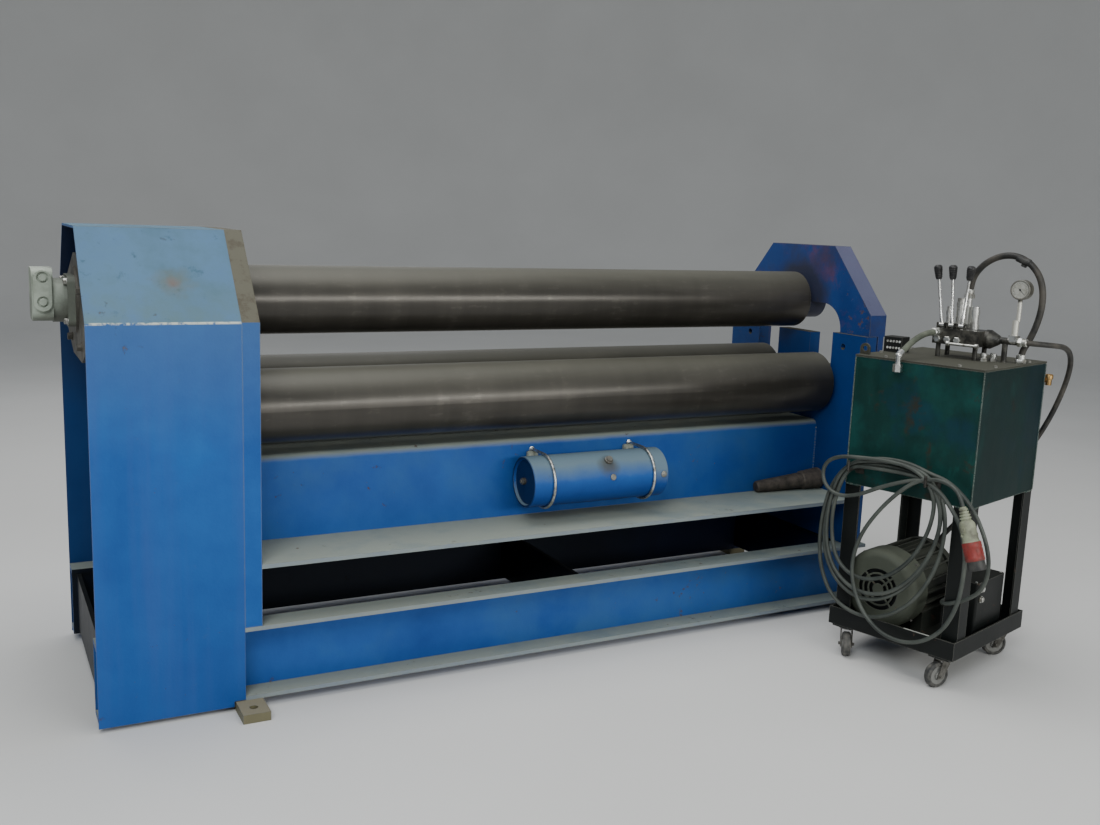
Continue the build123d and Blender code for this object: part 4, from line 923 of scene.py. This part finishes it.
# Pale lines along the sharp edges: a painted highlight, broken up by noise.
rubbed = (green.edges(0.0045) + 1.2 * (fine - 0.5)).over(0.40, 0.75)
green.coat(rubbed * 0.8, (0.20, 0.22, 0.19))
green.wear(
    roughness=(0.36 + 0.3 * brush).over(0, 1), bump=fine * 0.3 + brush * 0.5 + cloud * 0.4, depth=0.0012,
)
dress("tank", green)
lid_finish = painted(
    "lid_paint", (0.026, 0.026, 0.020), (0.055, 0.055, 0.042), (0.070, 0.070, 0.054),
    dusty=0.7, wear_width=0.003, shine=0.5,
)
dress("tank_lid", lid_finish)
UPWARD = (0, 0, 1)
LID_TOP = 936
LID_SCREWS = (
    (-188, -120), (-188, 110), (188, -120), (188, 110), (-110, -188), (110, -188), (-80, 188), (110, 188),
)
bolts("lid_screws", [(on_pack(a, b, LID_TOP), UPWARD) for a, b in LID_SCREWS], 0.008, machined)
TANK_HALF = 200
TANK_FOOT = 539
CORNERS = ((-1, -1), (1, -1), (-1, 1), (1, 1))


def tank_welds(shell):
    for p, q in CORNERS:
        a, b = (TANK_HALF + 0.5) * p, (TANK_HALF + 0.5) * q
        weld(shell, on_pack(a, b, 542), on_pack(a, b, 928), 0.0022)
    for p, q in CORNERS:
        for along_a, along_b in ((1, 0), (0, 1)):
            start, end = (
                on_pack((TANK_HALF - gap * along_a) * p, (TANK_HALF - gap * along_b) * q, TANK_FOOT)
                for gap in (4, 46)
            )
            weld(shell, start, end, 0.0030)


surface("tank_welds", tank_welds, green)


def filler_elbow(shell):
    turned(shell, aim(on_pack(199, -190, 880), pack_way(1, 0, 0)), [
        (0.014, 0), (0.014, 0.005), (0.008, 0.006), (0.008, 0.017),
    ], 24)
    turned(shell, aim(on_pack(214, -186, 880), pack_way(0, -1, 0)), [(0.009, 0), (0.009, 0.022)], 20)
    upright = aim(on_pack(214, -208, 864), UPWARD)
    lathe(shell, upright, [
        (0, 0), (0.009, 0), (0.009, 0.018), (0.012, 0.019), (0.012, 0.030), (0.010, 0.033), (0, 0.034),
    ], 20)


surface("filler_elbow", filler_elbow, bronze)

# The electric motor is a finned casting with a slotted fan cowl, grey under dust.
# A gear pump hangs on its other end behind a bell housing.
MOTOR_B, MOTOR_Z = 70, 230
COWL_SCREW_CIRCLE = 121.7


def grille_shade(paint, patch):
    deep = paint.past(on_pack(-185, MOTOR_B, MOTOR_Z), pack_way(1, 0, 0)).over(0.0015, 0.0030)
    openings = paint.near(on_pack(-181, MOTOR_B, MOTOR_Z), 0.1).over(0.325, 0.335) * deep
    paint.coat(openings, (0.004, 0.005, 0.005))


grey = painted(
    "motor_grey", (0.058, 0.066, 0.050), (0.095, 0.105, 0.082), (0.120, 0.130, 0.100),
    dusty=0.7, wear_width=0.002, streaks=0.2, marks=grille_shade,
)
dress("motor_cowl", grey)
shaded = painted(
    "motor_shade", (0.014, 0.017, 0.014), (0.030, 0.033, 0.026), (0.055, 0.058, 0.045),
    dusty=0.6, wear_width=0.002, streaks=0.2,
)
dress("electric_motor", shaded)
pump_iron = Finish("pump_casting", Metallic=0.2)
stain = pump_iron.noise(14, 6, rough=0.65)
grain = pump_iron.noise(180, 3)
pump_iron.colour = pump_iron.blend(stain.over(0.36, 0.66), (0.045, 0.050, 0.042), (0.13, 0.14, 0.115))
pump_iron.wear(roughness=0.4 + 0.3 * stain, bump=stain * 0.6 + grain * 0.4, depth=0.0008)
dress("gear_pump", pump_iron)
bolts("pump_bolts", [
    (on_pack(193, MOTOR_B + 33 * p, 225 + 38 * q), pack_way(1, 0, 0)) for p in (-1, 1) for q in (-1, 1)
], 0.010, machined)


def on_cowl(turn):
    """A place on the cowl's rim and the way out from it."""
    across, up = math.cos(turn), math.sin(turn)
    place = on_pack(-128, MOTOR_B + COWL_SCREW_CIRCLE * across, MOTOR_Z + COWL_SCREW_CIRCLE * up)
    return place, pack_way(0, across, up)


diagonals = [math.pi * k / 4 for k in (1, 3, 5, 7)]
bolts("cowl_screws", [on_cowl(turn) for turn in diagonals], 0.007, machined)


def box_fittings(shell):
    for a, b in ((-50, -172), (108, -172), (-50, -108), (108, -108)):
        bolt(shell, aim(on_pack(a, b, 288), UPWARD), 0.006, 0.35)
    for z in (268, 236):
        turned(shell, aim(on_pack(-35, -182, z), pack_way(0, -1, 0)), [
            (0.011, -0.001), (0.011, 0.003), (0.008, 0.004), (0.008, 0.008), (0.007, 0.009),
        ], 24)


surface("box_fittings", box_fittings, zinc)

# The valve group stands on the lid: a cross block with pillars and unions, a tee, a
# manifold with two rows of plugs, and three levers that spring back upright.
chrome = grimed(
    "bright_steel", (0.72, 0.72, 0.70), (0.26, 0.25, 0.22), grime=(70, 4), reach=(0.5, 0.75),
    rough=(0.14, 0.3), depth=0.0002, Metallic=1.0,
)
dress("short_hose_fitting", chrome)
valve = Finish("valve_steel")
film = valve.noise(40, 5, rough=0.65)
tops = []
for a, b, radius in ((52, 46, 12), (52, 9, 18), (52, -36, 17), (62, -8, 12)):
    rim = 1 - radius / 100
    tops.append(valve.near(on_pack(a, b, 0), 0.1, (1, 1, 0)).over(rim, rim + 0.01))
bright = (tops[0] | tops[1] | tops[2] | tops[3]) * valve.along("Z").over(1.0225, 1.0235)
bright = bright | valve.near(on_pack(40, -166, 1008), 0.1).over(0.82, 0.84)
valve.colour = valve.blend(film.over(0.42, 0.66), (0.014, 0.014, 0.012), (0.075, 0.072, 0.060))
valve.coat(bright, valve.blend(film.over(0.5, 0.72), (0.66, 0.66, 0.63), (0.22, 0.21, 0.18)))
valve.wear(
    roughness=(0.30 + 0.3 * film - 0.1 * bright).over(0, 1), metallic=0.25 + 0.75 * bright,
    bump=film, depth=0.0006,
)
dress("valve_block", valve)
manifold_dark = painted(
    "manifold_paint", (0.006, 0.007, 0.007), (0.02, 0.02, 0.018), (0.04, 0.04, 0.034), dusty=0.4, shine=0.4,
)
dress("manifold_block", manifold_dark)


def manifold_plugs(shell):
    for b in (147, 157, 167, 177, 187):
        for z in (950, 970):
            turned(shell, aim(on_pack(-46, b, z), pack_way(-1, 0, 0)), [
                (0.0036, -0.001), (0.0036, 0.0012), (0.0028, 0.0018), (0.0018, 0.0010),
            ], 14)


surface("manifold_plugs", manifold_plugs, zinc)


def lid_unions(shell):
    for a, b in ((8, -95), (36, -112)):
        place = aim(on_pack(a, b, LID_TOP), UPWARD)
        turned(shell, place, [(0.0105, 0), (0.0105, 0.010)], 6)
        turned(shell, place, [
            (0.0075, 0.009), (0.0075, 0.014), (0.0095, 0.015), (0.0095, 0.022), (0.007, 0.024),
        ], 20)
    tie = aim(on_pack(-20, 5, 979), pack_way(0, -1, 0))
    turned(shell, tie, [
        (0.0075, -0.004), (0.0075, 0.004), (0.0042, 0.005), (0.0042, 0.084), (0.0075, 0.085),
        (0.0075, 0.093),
    ], 16)
    for b in (42, 11, -20):
        turned(shell, aim(on_pack(-15, b, 990), pack_way(-1, 0, 0)), [
            (0.011, -0.001), (0.011, 0.005), (0.009, 0.007),
        ], 6)


surface("lid_unions", lid_unions, zinc)
knob_black = grimed(
    "knob_black", (0.006, 0.006, 0.007), (0.030, 0.028, 0.026), grime=(90, 4), reach=(0.45, 0.7),
    rough=(0.3, 0.35), depth=0.0003, Specular_IOR_Level=0.5,
)
LEVER_LEANS = (9.8, 4.3, -4.2)
LEVER_PIVOT_Z = 1.031
for k, lean in enumerate(LEVER_LEANS):
    pivot = PACK_PLACE @ Matrix.Translation((0.005, (42 - 31 * k) / 1000, LEVER_PIVOT_Z))
    stem = pivot @ Matrix.Rotation(math.radians(-lean), 4, "X")

    def lever_stick(shell, pivot=pivot, stem=stem):
        turned(shell, stem, [(0.0052, 0.004), (0.0052, 0.030), (0.0040, 0.033), (0.0040, 0.139)], 20)
        cross = pivot @ Matrix.Rotation(math.pi / 2, 4, "X")
        turned(shell, cross, [
            (0.003, -0.013), (0.003, -0.008), (0.007, -0.008), (0.007, 0.008), (0.003, 0.008),
            (0.003, 0.013),
        ], 24)

    def lever_knob(shell, stem=stem):
        profile = [(0, 0.137), (0.0078, 0.137), (0.0088, 0.141)]
        for rib in range(5):
            at = 0.143 + 0.0052 * rib
            wide = 0.0098 + 0.0005 * rib
            profile += [
                (wide, at), (wide + 0.0006, at + 0.001), (wide + 0.0006, at + 0.0032),
                (wide - 0.0004, at + 0.0042),
            ]
        profile += [(0.0125, 0.170), (0.0122, 0.174), (0.0100, 0.178), (0.006, 0.180), (0, 0.1803)]
        lathe(shell, stem, profile, 28)

    lever = f"control_lever_{k + 1}"
    stick = surface(f"lever_stick_{k + 1}", lever_stick, chrome, lever)
    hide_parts(lever)
    surface(f"lever_knob_{k + 1}", lever_knob, knob_black, body=lever)

# The pressure gauge is a filled brass case with a dark rim, a pale dial with plain marks,
# and a needle; it stands on a bright stem over the tee.
dial = Finish("gauge_case", Metallic=0.6)
haze = dial.noise(60, 4)
stem_part = 1 - dial.along("Z").over(1.112, 1.118)
dial.colour = dial.blend(haze.over(0.4, 0.7), (0.15, 0.145, 0.12), (0.06, 0.055, 0.045))
dial.coat(stem_part, (0.55, 0.54, 0.48))
dial.wear(roughness=0.3 + 0.3 * haze, bump=haze, depth=0.0002)
dress("pressure_gauge", dial)
dial_white = grimed(
    "dial_white", (0.33, 0.33, 0.30), (0.20, 0.195, 0.165), grime=(70, 4), reach=(0.4, 0.75),
    rough=(0.25, 0.3), depth=0.0001, Specular_IOR_Level=0.5,
)
dial_place = aim(on_pack(27.2, -174, 1150), pack_way(-1, 0, 0))


def gauge_face(shell):
    turned(shell, dial_place, [(0.0245, -0.001), (0.0245, 0.0004)])


def gauge_rim(shell):
    lathe(shell, dial_place, [
        (0.0240, -0.001), (0.0240, 0.0008), (0.0250, 0.0018), (0.0278, 0.0018), (0.0288, 0.0006),
        (0.0288, -0.001),
    ])


def gauge_marks(shell):
    for k in range(21):
        spoke = dial_place @ Matrix.Rotation(math.radians(-45 + 13.5 * k), 4, "Z")
        slab(shell, spoke, (0.0175 if k % 5 else 0.0155, -0.0004, 0.0003), (0.0215, 0.0004, 0.0007), 0.0001)
    needle = dial_place @ Matrix.Rotation(math.radians(-45), 4, "Z")
    slab(shell, needle, (-0.006, -0.0006, 0.0006), (0.018, 0.0006, 0.0012), 0.0002)
    lathe(shell, dial_place, [(0, 0.0003), (0.0028, 0.0003), (0.0028, 0.0016), (0, 0.0018)], 18)


surface("gauge_face", gauge_face, dial_white)
surface("gauge_rim", gauge_rim, machined)
surface("gauge_marks", gauge_marks, knob_black)

# Two bent rods on the tank's left side, each on a small plate, carry the cable.
# They are plain dark iron.
hook_iron = grimed(
    "hook_iron", (0.055, 0.053, 0.047), (0.018, 0.017, 0.014), grime=(70, 4), reach=(0.4, 0.7),
    rough=(0.4, 0.3), depth=0.0004, Metallic=0.6,
)
dress("cable_hooks", hook_iron)

# A plain pale floor that curves up into a backdrop, and soft studio light: a window at the
# left, the ceiling, a long strip in front that lies along the rolls, and two weak fills.
concrete = Finish("floor_finish", Roughness=0.75, Specular_IOR_Level=0.2)
cloud = concrete.noise(0.8, 5)
concrete.colour = concrete.blend(cloud.over(0.3, 0.7), (0.60, 0.60, 0.585), (0.64, 0.64, 0.625))
concrete.wear(bump=cloud, depth=0.0004)


def floor_sheet(shell):
    profile = [(0, 0), (3, 0), (9, 0)]
    profile += [(9 + 4 * math.sin(step * 0.15), 4 * (1 - math.cos(step * 0.15))) for step in range(1, 11)]
    lathe(shell, Matrix.Translation((0, 0, 0)), profile + [(13, 6)], 96)


floor = surface("floor", floor_sheet, concrete, body=None, smooth=80)

world = bpy.data.worlds.new("studio")
world.use_nodes = True
world.node_tree.nodes["Background"].inputs["Color"].default_value = (0.86, 0.9, 0.95, 1)
world.node_tree.nodes["Background"].inputs["Strength"].default_value = 0.38
scene.world = world
LAMPS = {
    "window": ((-3.2, -4.0, 3.9), (-0.4, 0.0, 0.8), 165, (2.4, 2.4), (0.95, 0.98, 1.0)),
    "ceiling": ((-0.6, 0.0, 4.8), (-0.2, 0.0, 0.6), 150, (3.6, 3.6), (1.0, 0.99, 0.97)),
    "strip": ((1.2, -5.2, 1.75), (-0.3, 0.0, 0.9), 118, (3.6, 0.65), (1.0, 1.0, 0.97)),
    "far_side": ((4.4, -1.2, 2.6), (0.6, -0.2, 0.6), 6, (2.0, 2.0), (1.0, 0.98, 0.95)),
    "behind": ((0.4, 4.6, 3.2), (0.0, 0.3, 0.6), 34, (3.0, 3.0), (0.97, 0.98, 1.0)),
}
for name, (place, target, power, size, colour) in LAMPS.items():
    lamp = bpy.data.objects.new(name, bpy.data.lights.new(name, "AREA"))
    lamp.data.energy = power
    lamp.data.shape = "RECTANGLE"
    lamp.data.size, lamp.data.size_y = size
    lamp.data.color = colour
    lamp.location = place
    lamp.rotation_euler = (Vector(target) - Vector(place)).to_track_quat("-Z", "Y").to_euler()
    scene.collection.objects.link(lamp)
